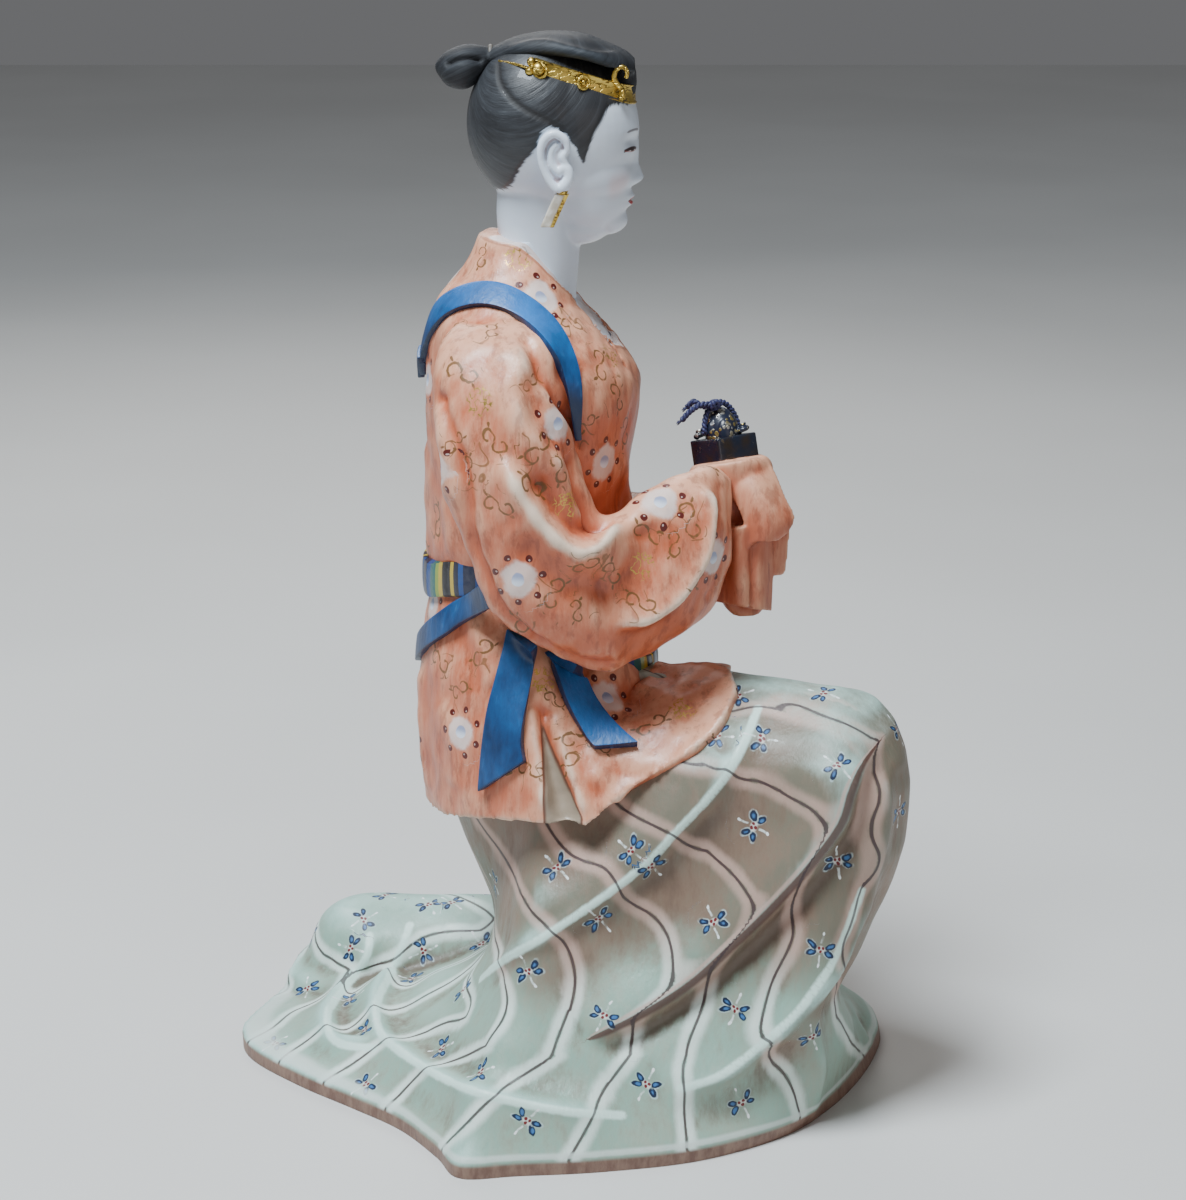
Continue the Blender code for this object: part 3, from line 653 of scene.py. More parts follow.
def line_trend(points):
    """A first count of the ruled lines, by direction round the body."""
    turn = (np.degrees(np.arctan2(points[:, 1], points[:, 0] + 5)) + 60) % 360 - 60
    found = []
    for angles in ((11, 43, 68, 91, 115, 136, 154, 167, 175, 186, 200, 222, 258, 315),
                   (30, 48, 60, 71, 96, 125, 145, 178, 222, 240, 256, 272, 290, 325),
                   (36, 45, 56, 89, 142, 168, 192, 216, 240, 264, 288, 312, 336, 360)):
        around = np.concatenate([np.array(angles) + shift for shift in (-360, 0, 360)])
        found.append(np.interp(turn, around, 18 - np.arange(42)))
    low, middle, high = found
    share = np.clip((points[:, 2] - 5) / 25, 0, 1)
    rest = np.clip((points[:, 2] - 30) / 45, 0, 1)
    return low + (middle - low) * share + (high - middle) * rest


def lapped(points, distance):
    """Adds the side of the overlapping fold as one more measure, so that lines break there."""
    past_end = np.min([np.linalg.norm(points - end, axis=1) for end in (lap_line[0], lap_line[-1])], axis=0)
    at_end = np.abs(np.abs(distance) - past_end) < 1e-6
    fade = np.where(at_end, np.exp(-(past_end / 10) ** 2), 1.0)
    fade = fade * np.exp(-(np.maximum(np.abs(distance) - 12, 0) / 14) ** 2)
    return np.column_stack((points, 20 * np.tanh(distance / 1.2) * fade))


known, counts, sides = [], [], []
for count, pixels in ruled_lines.items():
    crosses = None in pixels
    side = -1 if crosses else 0
    for pixel in pixels:
        if pixel is None:
            side = 1
            continue
        spot = seen(skirt_tree, [pixel])
        if len(spot):
            known.append(spot[0])
            counts.append(count)
            sides.append(side)
known, counts, sides = np.array(known), np.array(counts, float), np.array(sides, float)
known_normals = normals[closest_to(points, known)]
from_lap = sided(known, known_normals, lap_line)[0]
from_lap = np.where(sides == 0, from_lap, sides * np.maximum(np.abs(from_lap), 2.0))
known = lapped(known, from_lap)


def near_known(gaps):
    """How much two places have to do with each other: 1 at no distance, little beyond the range."""
    line_range = 34
    share = math.sqrt(3) * gaps / line_range
    return (1 + share) * np.exp(-share)


between = np.linalg.norm(known[:, None] - known[None], axis=2)
weights = np.linalg.solve(near_known(between) + 0.004 * np.eye(len(known)), counts - line_trend(known))
four = lapped(points, sided(points, normals, lap_line)[0])
ruling = line_trend(points)
block_size = 20000
for at in range(0, len(points), block_size):
    block = four[at:at + block_size]
    squares = (block ** 2).sum(1)[:, None] + (known ** 2).sum(1)[None] - 2 * block @ known.T
    ruling[at:at + block_size] += near_known(np.sqrt(np.maximum(squares, 0))) @ weights
cycle = np.stack((np.cos(2 * math.pi * ruling), np.sin(2 * math.pi * ruling)), 1)
first, second = edge_ends(skirt)
step = cycle[first] - cycle[second]
length = np.linalg.norm(points[first] - points[second], axis=1)
rate = (np.linalg.norm(step, axis=1) / np.maximum(length, 1e-6)) ** 2
count = np.bincount(first, minlength=len(points)) + np.bincount(second, minlength=len(points))
rate = np.sqrt(2 * (np.bincount(first, rate, len(points)) + np.bincount(second, rate, len(points)))
               / np.maximum(count, 1)) / (2 * math.pi)
rate = spread(skirt, rate[:, None], 12)[:, 0]
store(skirt, "ruling", np.column_stack((cycle, rate)))
store(skirt, "crest", stand_out(skirt, 40))
store(skirt, "broad", stand_out(skirt, 260))
lap_distance, lap_run = sided(points, normals, lap_line)
ridge = np.full(len(points), 99.0)
for number in (1, 4, 6, 8):
    ridge = np.minimum(ridge, nearest(points, drawn(skirt_tree, near_folds[number][0]))[0])
for line, *_ in far_folds[:4]:
    ridge = np.minimum(ridge, nearest(points, through(line, 40))[0] + 0.6)
store(skirt, "ridge", ridge)
smooth_normals = even_normals(skirt, 8)
store(skirt, "lean", smooth_normals[:, 2])
lap_fade = np.clip(np.minimum(lap_run, 1 - lap_run) * 6, 0.03, 1)
store(skirt, "lap", lap_distance / lap_fade)

flower_pixels = [
    (738, 695), (825, 693), (717, 735), (761, 739), (837, 767), (754, 828), (839, 863), (897, 729),
    (898, 813), (651, 867), (715, 921), (555, 868), (630, 850), (597, 920), (529, 972), (602, 1016),
    (737, 1008), (820, 949), (812, 1036), (648, 1083), (742, 1102), (528, 1120), (364, 920), (429, 904),
    (482, 944), (413, 978), (350, 1000), (308, 988), (364, 1030), (276, 1042), (463, 991), (442, 1048),
    (480, 1072), (364, 1086), (495, 884),
]
flowers = list(seen(skirt_tree, flower_pixels))
for turn in range(-100, -4, 17):
    for row, height in enumerate((14, 36, 60, 84, 106)):
        angle = math.radians(turn + 8 * (row % 2))
        way = Vector((math.sin(angle), math.cos(angle), 0))
        hit = skirt_tree.ray_cast(Vector((0, 0, height * 0.001)) - way * 0.3, way)[0]
        if hit is not None:
            flowers.append(measured(hit))
for turn in range(200, 262, 15):
    for out in (62, 84, 104):
        angle = math.radians(turn + out % 7)
        hit = skirt_tree.ray_cast(Vector((-math.sin(angle) * out, -math.cos(angle) * out, 90)) * 0.001,
                                  Vector((0, 0, -1)))[0]
        if hit is not None and hit.z > 0.001:
            flowers.append(measured(hit))
flowers = np.array(flowers)
closest = closest_to(points, flowers)
facings = smooth_normals[closest]
across = []
for at in closest:
    near = np.linalg.norm(points - points[at], axis=1) < 7
    shift = np.angle((cycle[near, 0] + 1j * cycle[near, 1]) * np.conj(cycle[at, 0] + 1j * cycle[at, 1]))
    way = np.linalg.lstsq(points[near] - points[at], shift, rcond=0.05)[0]
    across.append(way / (np.linalg.norm(way) + 1e-9))
store(skirt, "flower", local_spots(points, normals, points[closest], facings, across, 8.5))

skirt_material, start = finish("painted skirt clay", 0.5)
cosine, sine, per_mm = kept(start, "ruling", "Vector").parts()
from_line = sine.sum("ARCTAN2", cosine).size() / (2 * math.pi) / per_mm
crest = kept(start, "crest")
broad = kept(start, "broad")
lap = kept(start, "lap")
height = start.node("TexCoord", out="Object").parts()[2]
soft_noise = noise(start, 55, 4)
fine_noise = noise(start, (330, 330, 120), 5, 0.65)
brushed = noise(start, (900, 900, 260), 3, 0.6)
lean = kept(start, "lean")
ridge = kept(start, "ridge")
# Higher up the washes turn brown, while faces turned up stay pale sage as painted light.
upper_and_shaded = (height + lean * -0.045 + (soft_noise - 0.5) * 0.03).ramp(0.018, 0.062)
sage = upper_and_shaded.paint((0.28, 0.44, 0.36), (0.18, 0.165, 0.12))
# Random mottling, pushed towards the darker rose in broad hollows as painted shade.
mottle_and_hollow_shade = (soft_noise * 0.7 + fine_noise * 0.7 - broad * 0.05).ramp(0.45, 0.95)
rose = upper_and_shaded.paint((0.34, 0.40, 0.32), (0.27, 0.175, 0.125))
colour = mottle_and_hollow_shade.paint(sage, rose)
# Painted shade: dark brown in the hollows, broken up by noise.
hollow_shade = (crest * -0.6 + fine_noise * 0.9 - 0.42 + upper_and_shaded * 0.12).ramp(0.0, 0.75, 0.0, 0.85)
colour = hollow_shade.paint(colour, (0.12, 0.080, 0.055))
band_edge = from_line + (fine_noise - 0.5) * 1.6
band = band_edge.band(0.25, 0.8, 1.6, 4.2)
band_colour = upper_and_shaded.paint((0.78, 0.90, 0.84), (0.60, 0.40, 0.33))
colour = (band * (0.85 + 0.7 * (soft_noise - 0.5) - upper_and_shaded * 0.2)).paint(colour, band_colour)
# Painted highlight: pale mint on the crests and on faces turned up.
crest_highlight = (crest * 0.9 + lean.ramp(0.25, 0.95, 0.0, 1.0) + (fine_noise - 0.5) * 0.9).ramp(0.55, 2.0)
colour = (crest_highlight * 0.8).paint(colour, (0.48, 0.72, 0.66))
# Painted highlight: mint-white lines along the crests of the main folds.
colour = ((ridge + (fine_noise - 0.5) * 1.2).fade(0.7, 1.8, 0.95)).paint(colour, (0.68, 0.90, 0.82))
# At the overlapping fold: a pale rose line on its raised side, and painted shadow on the lower side under its
# edge.
colour = (lap.band(-1.6, -0.9, -0.5, 0.1) * 0.6).paint(colour, (0.62, 0.42, 0.36))
colour = (lap.band(-0.2, 0.4, 2.2, 4.4) * 0.9).paint(colour, (0.10, 0.040, 0.03))
line_edge = from_line + (brushed - 0.5) * 0.18
ruled = line_edge.fade(0.28, 0.5) * (0.75 + 0.5 * (fine_noise - 0.35))
colour = ruled.paint(colour, (0.055, 0.026, 0.032))

aside, upward, _ = kept(start, "flower", "Vector").parts()
aside = aside * 1.12 + (noise(start, 260) - 0.5) * 2.0
upward = upward * 1.12 + (noise(start, 210) - 0.5) * 2.0


def leaf(x, y, centre_x, centre_y, half_long, half_wide, angle):
    """Distance from the middle of a small painted oval, 1 at its edge."""
    turn_cos, turn_sin = math.cos(math.radians(angle)), math.sin(math.radians(angle))
    x, y = x - centre_x, y - centre_y
    return span((x * turn_cos + y * turn_sin) / half_long, (y * turn_cos - x * turn_sin) / half_wide)


for centre_y, angle in ((1.25, 28), (-1.25, -32)):
    petal = leaf(aside.size(), upward, 3.1, centre_y, 1.75, 1.0, angle)
    halo = petal.fade(1.15, 1.5) * fine_noise.ramp(0.42, 0.6, 0.0, 0.75)
    colour = halo.paint(colour, (0.50, 0.64, 0.66))
    petal_rim = (petal + (fine_noise - 0.5) * 1.6).ramp(0.2, 0.7)
    petal_colour = petal_rim.paint((0.05, 0.17, 0.40), (0.006, 0.016, 0.05))
    colour = petal.fade(0.9, 1.15).paint(colour, petal_colour)
stalk = aside.size().fade(0.2, 0.5) * upward.size().band(1.6, 2.2, 4.6, 5.8)
colour = (stalk * fine_noise.ramp(0.4, 0.55, 0.1, 0.8)).paint(colour, (0.76, 0.84, 0.82))
drop = leaf(aside, upward.size(), 0, 5.2, 0.42, 0.7, 0)
colour = drop.fade(0.8, 1.2).paint(colour, (0.88, 0.92, 0.92))
centre = leaf(aside, upward, 0, 0, 1.5, 1.1, 0)
colour = centre.fade(0.8, 1.3, 0.7).paint(colour, (0.78, 0.76, 0.72))
for x, y in ((0.0, 0.7), (-0.75, -0.45), (0.75, -0.45)):
    colour = leaf(aside, upward, x, y, 0.62, 0.62, 0).fade(0.7, 1.1).paint(colour, (0.16, 0.015, 0.018))
bare = height.fade(0.0035, 0.0050)
colour = bare.paint(colour, fine_noise.ramp(0.3, 0.7).paint((0.17, 0.085, 0.06), (0.30, 0.19, 0.14)))
colour = (height.band(0.0048, 0.0055, 0.0062, 0.0072) * 0.7).paint(colour, (0.66, 0.74, 0.70))
wire(colour, "Base Color")
wire(fine_noise.ramp(0.2, 0.9, 0.36, 0.62), "Roughness")
relief(brushed + fine_noise, 0.0003, 0.5)
dress(skirt, skirt_material)
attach(skirt, "root")
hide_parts("figure")


# The tunic: body, short skirts and two wide hanging sleeves, the upper part of the same clay casting.
# It is painted by hand in thin coats of orange earth, with painted light paling the crests and faces turned
# up and painted shade deepening the hollows, and then decorated with white roundels, olive scrolls and specks
# of gold.
torso_rows = [
    (112, -15, 36, 42), (126, -16.5, 35.5, 40), (138, -17, 34, 33), (150, -17.5, 32, 31.5),
    (160, -18, 31.5, 32), (172, -19, 31, 34.5), (188, -19.5, 30.5, 37), (205, -18.5, 31.5, 40),
    (219, -18, 32, 41), (229, -20.5, 28.5, 39.5), (237, -23.5, 24.5, 34), (244, -25, 20, 26),
    (250, -23.5, 16.5, 19), (256, -22.5, 13.5, 14.5), (262, -22.5, 11.5, 12.5),
]
hem_outline = [
    (-52, 0, 86), (-47, 24, 88), (-35, 43, 93), (-20, 54.5, 96.0), (-13, 57, 95.5), (-6, 56, 96.2),
    (-1, 58.5, 97), (11, 56, 107), (24, 54.5, 115.5), (35, 50, 123.5), (42, 38, 131),
    (42, 27, 128), (38, 12, 118.5), (34, -6, 110.5), (29, -22, 106), (19, -38, 103), (4, -48, 98),
    (-14, -50, 94), (-35, -41, 90), (-47, -22, 87),
]
right_sleeve = [
    ((-19, 241), (-39, 240), 27, 7), ((-12.8, 236.8), (-45, 232.5), 34, 11.5),
    ((-9.3, 225), (-46, 215), 39, 15), ((-6, 211), (-43, 196), 42, 16),
    ((-2.8, 199.6), (-37, 178), 43.5, 16), ((2, 187.6), (-28, 157), 44, 16),
    ((7.5, 187), (-5, 142), 42, 16), ((13.5, 191), (11, 141), 38, 15),
    ((25, 195.6), (25, 147.5), 32, 14), ((34, 197), (35, 153), 25, 12.5),
    ((41, 191.5), (41, 166), 19, 11),
]
left_sleeve = right_sleeve[:3] + [
    ((-6, 210), (-43, 195), 42, 16),
    ((-4, 197), (-37, 175), 43.5, 16), ((0, 181), (-28, 150), 44, 16),
    ((6, 174), (-5, 136), 41, 15.5), ((13, 173), (11, 134), 35, 14.5),
    ((24, 177), (25, 139), 27, 13), ((34, 179), (36, 146), 20, 12),
    ((40, 178), (43, 152), 15, 11),
]


def belt_ring(rise, grow, count=96):
    """A ring round the sloping belt line, raised along the body and grown outward."""
    ring = oval((-16, 0, rise), (34 + grow, 0, 0), (0, 32.5 + grow, 0), count)
    waist_forward = (-50, -44, -36, -30, -16, 0, 10, 18)
    waist_up = (153, 156.5, 158.5, 158, 150, 136, 128, 124)
    ring[:, 2] += np.interp(ring[:, 0], waist_forward, waist_up)
    return ring


def sleeve(side, rows):
    """A wide hanging sleeve from the shoulder over the elbow to the hands; side is 1 or -1."""
    found = []
    flat_rows = [(*front, *back, middle, half) for front, back, middle, half in rows]
    for front_f, front_u, back_f, back_u, middle, half in through(flat_rows, 70):
        centre = ((front_f + back_f) / 2, side * middle, (front_u + back_u) / 2)
        long_axis = ((front_f - back_f) / 2, 0, (front_u - back_u) / 2)
        found.append(oval(centre, long_axis, (0, half, 0), 72, 2.2))
    return loft("sleeve", found)


def clear_of(tree, points, gap):
    """Moves points out of a piece until they stand a gap above its surface."""
    moved = []
    for point, spot in zip(points, place(points)):
        near, way, _, _ = tree.find_nearest(Vector(spot))
        if (Vector(spot) - near).dot(way) < gap * 0.001:
            near = near + way * gap * 0.001
            point = measured(near)
        moved.append(point)
    return np.array(moved)


hem = through(hem_outline, 144, closed=True)
waist = belt_ring(0, 0, 144)
waist = np.roll(waist, -int(np.argmin(waist[:, 0])), axis=0)
if waist[5, 1] < 0:
    waist = np.roll(waist[::-1], 1, axis=0)
skirts = [hem * (0.62, 0.62, 1), hem]
for share in np.linspace(0.04, 1, 30):
    bulge = 1 + 0.05 * math.sin(math.pi * share)
    ring = (hem * (1 - share) + waist * share) * (bulge, bulge, 1)
    ring[:, 2] -= 5 * math.sin(math.pi * share) * np.clip((ring[:, 0] - 6) / 10, 0, 1)
    skirts.append(ring)
skirts[1:-4] = [clear_of(skirt_tree, ring, 2.6) for ring in skirts[1:-4]]
under = []
for point, spot in zip(skirts[1], place(skirts[1])):
    near, way, _, _ = skirt_tree.find_nearest(Vector(spot))
    inner = near - way * 0.0025
    close = (Vector(spot) - near).length < 0.006
    under.append(measured(inner) if close else point * (0.93, 0.93, 1) + (0, 0, 0.8))
skirts.insert(1, np.array(under))
body = [oval((forward, 0, up), (depth, 0, 0), (0, width, 0), 90, 2.15)
        for up, forward, depth, width in through(torso_rows, 70)]
tunic = run_together("tunic", [loft("body", body), loft("short skirts", skirts), sleeve(1, right_sleeve),
                               sleeve(-1, left_sleeve)], 0.00105, 3)

elbow_fold = [(500, 452), (514, 480), (534, 512), (557, 541), (579, 552), (599, 546), (610, 532), (618, 520)]
tunic_folds = [
    (elbow_fold, 2.6, 7, 5),
    (elbow_fold, 2.2, 2.6, 2.4),
    ([(526, 336), (520, 370), (514, 394), (526, 432), (550, 458), (579, 479)], 2.2, 6, 3.2),
    ([(700, 481), (706, 504), (701, 546), (685, 579), (663, 604), (639, 617), (606, 622)], 2.4, 5, 4.0),
    ([(696, 482), (706, 504), (701, 546), (685, 579), (663, 604), (639, 617), (606, 622)], 1.8, 2.2, 1.9),
    ([(645, 520), (652, 545), (642, 570), (618, 592), (590, 604)], -2.6, 8, 6),
    ([(515, 530), (545, 568), (575, 586), (615, 580)], -2.2, 7, 5),
    ([(534, 706), (540, 750), (547, 826)], 1.6, 2.4, 1.8),
    ([(588, 818), (566, 765), (548, 712)], 1.6, 2.4, 1.8),
    ([(440, 700), (452, 740), (455, 790)], 1.0, 5, 4),
    ([(492, 690), (480, 640), (470, 612)], 1.2, 4, 3),
    ([(600, 640), (640, 690), (690, 706)], 1.6, 7, 4),
    ([(620, 700), (610, 740), (594, 790)], 1.2, 6, 5),
    ([(452, 560), (448, 500), (444, 440), (438, 400)], 1.4, 5, 4),
]
tunic_creases = [
    ([(440, 400), (463, 470), (470, 532), (482, 570), (500, 609), (539, 644)], 2.2, 2.4),
    ([(528, 341), (541, 369), (553, 386), (566, 410), (580, 440)], 2.4, 2.6),
    ([(539, 644), (579, 661), (606, 661)], 1.6, 3.0),
    ([(543, 716), (552, 760), (566, 824)], 2.6, 3.2),
    ([(575, 462), (586, 495), (600, 522)], 3.6, 3.6),
    ([(540, 488), (560, 516), (582, 530), (600, 524)], 2.8, 3.6),
    ([(731, 488), (733, 529), (726, 562), (710, 596)], 1.2, 2.0),
]
hidden_folds = [
    ([(0, -55, 198), (6, -57, 184), (14, -55, 174)], 2.0, 5, 3),
    ([(32, -34, 176), (34, -40, 166), (28, -42, 154), (14, -46, 142)], 2.6, 4.5, 3),
    ([(-8, -54, 96), (-10, -52, 110), (-12, -48, 128)], 1.6, 4, 2.2),
    ([(-19, -47, 128), (-20, -50, 112), (-22, -50, 95)], 1.6, 4, 2.2),
    ([(-50, 0, 200), (-51, 2, 180), (-50, 0, 160)], 1.2, 8, 6),
    ([(-52, 8, 130), (-55, 12, 110), (-53, 14, 90)], 1.4, 6, 4),
    ([(-52, -14, 130), (-54, -18, 110), (-52, -20, 90)], 1.4, 6, 4),
    ([(10, 20, 200), (13, 8, 180), (13, 0, 160)], 1.2, 6, 4),
    ([(10, -20, 200), (13, -10, 180), (13, -2, 164)], 1.2, 6, 4),
    ([(24, -10, 126), (32, -6, 114)], 1.2, 6, 4),
]
hidden_creases = [
    *(([(-46, side, 205), (-44, side, 186), (-40, side, 164)], 2.2, 2.6) for side in (30, -30)),
    ([(-9, -38, 228), (-4, -42, 214), (0, -40, 200)], 2.6, 3.0),
    ([(-14, -50, 124), (-15, -52, 108), (-15, -52, 92)], 3.2, 3.2),
]
tunic_tree = surface_tree(tunic)
points, normals = read(tunic), read(tunic, "normal")
slit_line = drawn(tunic_tree, [(543, 716), (551, 755), (559, 795), (566, 824)])
rise = folds(points, normals, tunic_tree, tunic_folds, hidden_folds)
for pixels, depth, width in tunic_creases:
    rise -= crease(points, drawn(tunic_tree, pixels), depth, width)
for line, depth, width in hidden_creases:
    rise -= crease(points, through(line, 40), depth, width)
forward, right, up = points.T
rise += 0.3 * np.sin(forward * 0.31 + up * 0.17) * np.cos(right * 0.23 - up * 0.13)
rise += 0.22 * np.sin(forward * 0.6 - up * 0.45) * np.sin(right * 0.5)


# The neckline: a lapped collar that runs from the nape down to the middle of the chest.
def height_round(line, middle, drop, lift):
    """The heights of a line of the near side by direction round an upright axis, from front to back."""
    angles = np.arctan2(np.abs(line[:, 1]), line[:, 0] - middle)
    order = np.argsort(angles)
    heights = line[order, 2]
    return (np.concatenate(([0], angles[order], [math.pi])),
            np.concatenate(([heights[0] - drop], heights, [heights[-1] + lift])))


neck_pixels = [(500, 238), (523, 247), (549, 271), (569, 291), (594, 320), (617, 348), (631, 376)]
neck_angles, neck_heights = height_round(drawn(tunic_tree, neck_pixels), -20, 3, 2)
angle = np.arctan2(np.abs(right), forward + 20)
above_neckline = (up - np.interp(angle, neck_angles, neck_heights)) * 0.75
above_neckline = np.where(up < 195, -30, above_neckline)
rise -= 1.3 * np.clip(above_neckline / 0.8 + 0.5, 0, 1)
reshape(tunic, points + normals * rise[:, None])
apply(tunic, "SMOOTH", factor=0.3, iterations=1)
store(tunic, "collar", above_neckline)
store_form(tunic, 30)
from_slit, run = sided(points, normals, slit_line)
store(tunic, "slit", 6.2 * np.clip(run - 0.03, 0, 1) - np.abs(from_slit + 0.6))

tunic_tree = surface_tree(tunic)
points, normals = read(tunic), read(tunic, "normal")
smooth_normals = even_normals(tunic, 12)
to_eye = np.array((0, 860, 400)) - points
facing_eye = np.einsum("ij,ij->i", smooth_normals, to_eye) / np.linalg.norm(to_eye, axis=1)
hidden = (facing_eye < 0.1) & (above_neckline < -4) & (points[:, 2] > 92)
random = np.random.default_rng(7)


def scatter(placed, gap, limit):
    """Adds spots on the sides that the view doesn't show, never nearer than the gap to another."""
    added = []
    for pick in random.permutation(np.nonzero(hidden)[0]):
        if len(added) == limit:
            break
        others = placed + added
        if not others or np.min(np.linalg.norm(np.array(others) - points[pick], axis=1)) > gap:
            added.append(points[pick])
    return added


roundel_pixels = [(540, 296), (559, 422), (518, 579), (460, 731), (607, 697), (661, 502), (713, 557),
                  (428, 378), (432, 605), (605, 462)]
gold_pixels = [(518, 257), (478, 400), (567, 505), (640, 566), (542, 679), (610, 355), (685, 708)]
scroll_pixels = [
    (482, 256), (572, 324), (600, 364), (532, 382), (618, 398), (460, 372), (585, 425), (499, 507),
    (530, 487), (585, 566), (553, 592), (576, 612), (612, 572), (648, 534), (673, 545), (640, 602),
    (440, 660), (459, 690), (480, 655), (555, 700), (566, 765), (575, 735), (455, 440), (495, 440),
    (438, 520), (470, 470), (520, 620), (500, 768), (530, 770), (650, 725), (600, 745), (560, 470),
    (540, 450), (492, 330), (625, 430), (690, 520),
]
roundels = list(seen(tunic_tree, roundel_pixels))
roundels += scatter(roundels, 34, 30)
golds = list(seen(tunic_tree, gold_pixels))
golds += scatter(roundels + golds, 17, 20)
scrolls = list(seen(tunic_tree, scroll_pixels))
scrolls += scatter(roundels + golds + scrolls, 11.5, 70)
for name, centres, reach in (("roundel", roundels, 10.5), ("gold", golds, 5.5), ("scroll", scrolls, 7.5)):
    closest = closest_to(points, centres)
    spins = random.uniform(0, 6.28, len(closest))
    ways = [np.array((math.cos(spin), 0.3, math.sin(spin))) for spin in spins]
    if name == "roundel":
        ways = [np.cross(smooth_normals[at], (0, 0, -1.0)) + 1e-3 for at in closest]
    store(tunic, name, local_spots(points, normals, points[closest], smooth_normals[closest], ways, reach))


def shaded_robe_ground(start, crest, broad, pale, middle, deep):
    """Thin coats of earth colour with random darker washes; pale on crests and faces turned up as painted
    light, deep in hollows and on faces turned down as painted shade.
    """
    cloudy = noise(start, 60, 4)
    streaks = noise(start, (420, 420, 90), 5, 0.65)
    lean = kept(start, "lean")
    # The tone rises on crests and on faces turned up: painted light and shade, mixed with random cloudy
    # streaks.
    tone = cloudy * 0.75 + streaks * 0.6 + crest * 0.22 + broad * 0.05 + lean * 0.34
    ground = tone.ramp(0.55, 1.15).paint(middle, pale)
    ground = (noise(start, (280, 280, 100), 5, 0.65).ramp(0.5, 0.64, 0.0, 0.4)).paint(ground, deep)
    # Painted shade: deep colour where the tone is low, in hollows and on faces turned down.
    ground = (0.62 - tone).ramp(0.0, 0.62, 0.0, 0.95).paint(ground, deep)
    return ground, streaks


tunic_material, start = finish("painted tunic clay", 0.42)
crest, broad = kept(start, "crest"), kept(start, "broad")
colour, streaks = shaded_robe_ground(
    start, crest, broad, (0.80, 0.40, 0.25), (0.55, 0.135, 0.06), (0.20, 0.026, 0.010))
# Painted highlight: pale cream on the crests.
colour = (crest + (streaks - 0.5)).ramp(0.5, 1.9, 0.0, 0.85).paint(colour, (0.86, 0.70, 0.55))
x, y, pick = kept(start, "scroll", "Vector").parts()
wobble = noise(start, 190) - 0.5
size = 0.8 + pick * 0.45
x, y = (x + wobble * 2.4) / size, (y + (noise(start, 230) - 0.5) * 2.4) / size
way = x.ramp(-0.001, 0.001, -1.0, 1.0)
across, along = x.size() - 2.4, y * way
turn = (along.sum("ARCTAN2", across * -1) / (2 * math.pi)).sum("FRACT")
reach = span(across, along)
from_curl = (reach - 2.4 * (1 - turn * 0.68)).size()
curl = (from_curl - 0.20 - (streaks - 0.5) * 0.5).fade(0.0, 0.2) * turn.fade(0.84, 0.9)
curl = curl.sum("MAXIMUM", leaf(across, along, 1.6, 2.6, 0.9, 0.38, 40).fade(0.8, 1.1))
vine = (noise(start, 95, 1, 0.3) - 0.5).size().fade(0.004, 0.009) * noise(start, 120, 2).ramp(0.47, 0.5)
curl = curl.sum("MAXIMUM", vine * 0.8) * pick.fade(1.0, 1.1)
colour = (curl * streaks.ramp(0.25, 0.5, 0.35, 0.9)).paint(colour, (0.15, 0.075, 0.02))
x, y, pick = kept(start, "roundel", "Vector").parts()
x, y = x + wobble * 1.2, y + (noise(start, 210) - 0.5) * 1.2
radius = span(x, y)
blot = (radius + (noise(start, 170, 4, 0.6) - 0.5) * 5.0).fade(4.2, 6.0, 0.9)
colour = (blot * (0.8 + wobble * 0.5)).paint(colour, (0.80, 0.71, 0.67))
turn = y.sum("ARCTAN2", x) * (7 / (2 * math.pi)) + pick
sector = (turn - turn.sum("ROUND")) * (2 * math.pi / 7)
dot_x, dot_y = radius * sector.sum("COSINE") - 7.0, radius * sector.sum("SINE")
colour = span(dot_x, dot_y).fade(0.95, 1.15).paint(colour, (0.10, 0.012, 0.009))
shine_x, shine_y = dot_x + 0.35, dot_y - 0.25
shine = (shine_x * shine_x + shine_y * shine_y).fade(0.03, 0.12, 0.7)
colour = shine.paint(colour, (0.70, 0.55, 0.50))
# Painted highlight: the middle bead's blue pales towards its lower side.
bead_blue_and_highlight = (y * -1).ramp(-1.2, 1.4).paint((0.30, 0.34, 0.50), (0.74, 0.80, 0.92))
colour = radius.fade(1.75, 2.1).paint(colour, bead_blue_and_highlight)
x, y, _ = kept(start, "gold", "Vector").parts()
fleck = noise(start, 420, 2)
leafy = (fleck - 0.5).size().fade(0.012, 0.04) * (span(x, y) + wobble * 3).fade(3.4, 4.6)
colour = leafy.paint(colour, (0.62, 0.43, 0.10))
# The slit: the skirt's colour painted where the two panels part, darker towards the panels' edges as painted
# shade.
slit = kept(start, "slit") + (streaks - 0.5) * 0.5
slit_colour = slit.ramp(0.2, 1.2).paint((0.16, 0.06, 0.035), (0.34, 0.27, 0.20))
colour = slit.ramp(-0.3, 0.2).paint(colour, slit_colour)
collar = kept(start, "collar")
colour = (collar.band(-1.5, -1.1, -0.7, -0.4) * 0.55).paint(colour, (0.30, 0.085, 0.04))
colour = (collar.ramp(-0.6, -0.35) * 0.9).paint(colour, (0.70, 0.62, 0.60))
up = start.node("TexCoord", out="Object").parts()[2]
bead = ((up * 1000 / 2.6).sum("FRACT") - 0.5).size()
beads = (bead * bead * 6.0 + (collar - 0.7) * (collar - 0.7)).fade(0.12, 0.22)
colour = (beads * up.fade(0.236, 0.240)).paint(colour, (0.05, 0.06, 0.14))
colour = (collar.ramp(1.35, 1.6) * (up.ramp(0.238, 0.244))).paint(colour, (0.68, 0.76, 0.86))
colour = (collar.ramp(2.0, 2.3) * up.fade(0.225, 0.24)).paint(colour, (0.68, 0.76, 0.86))
wire(colour, "Base Color")
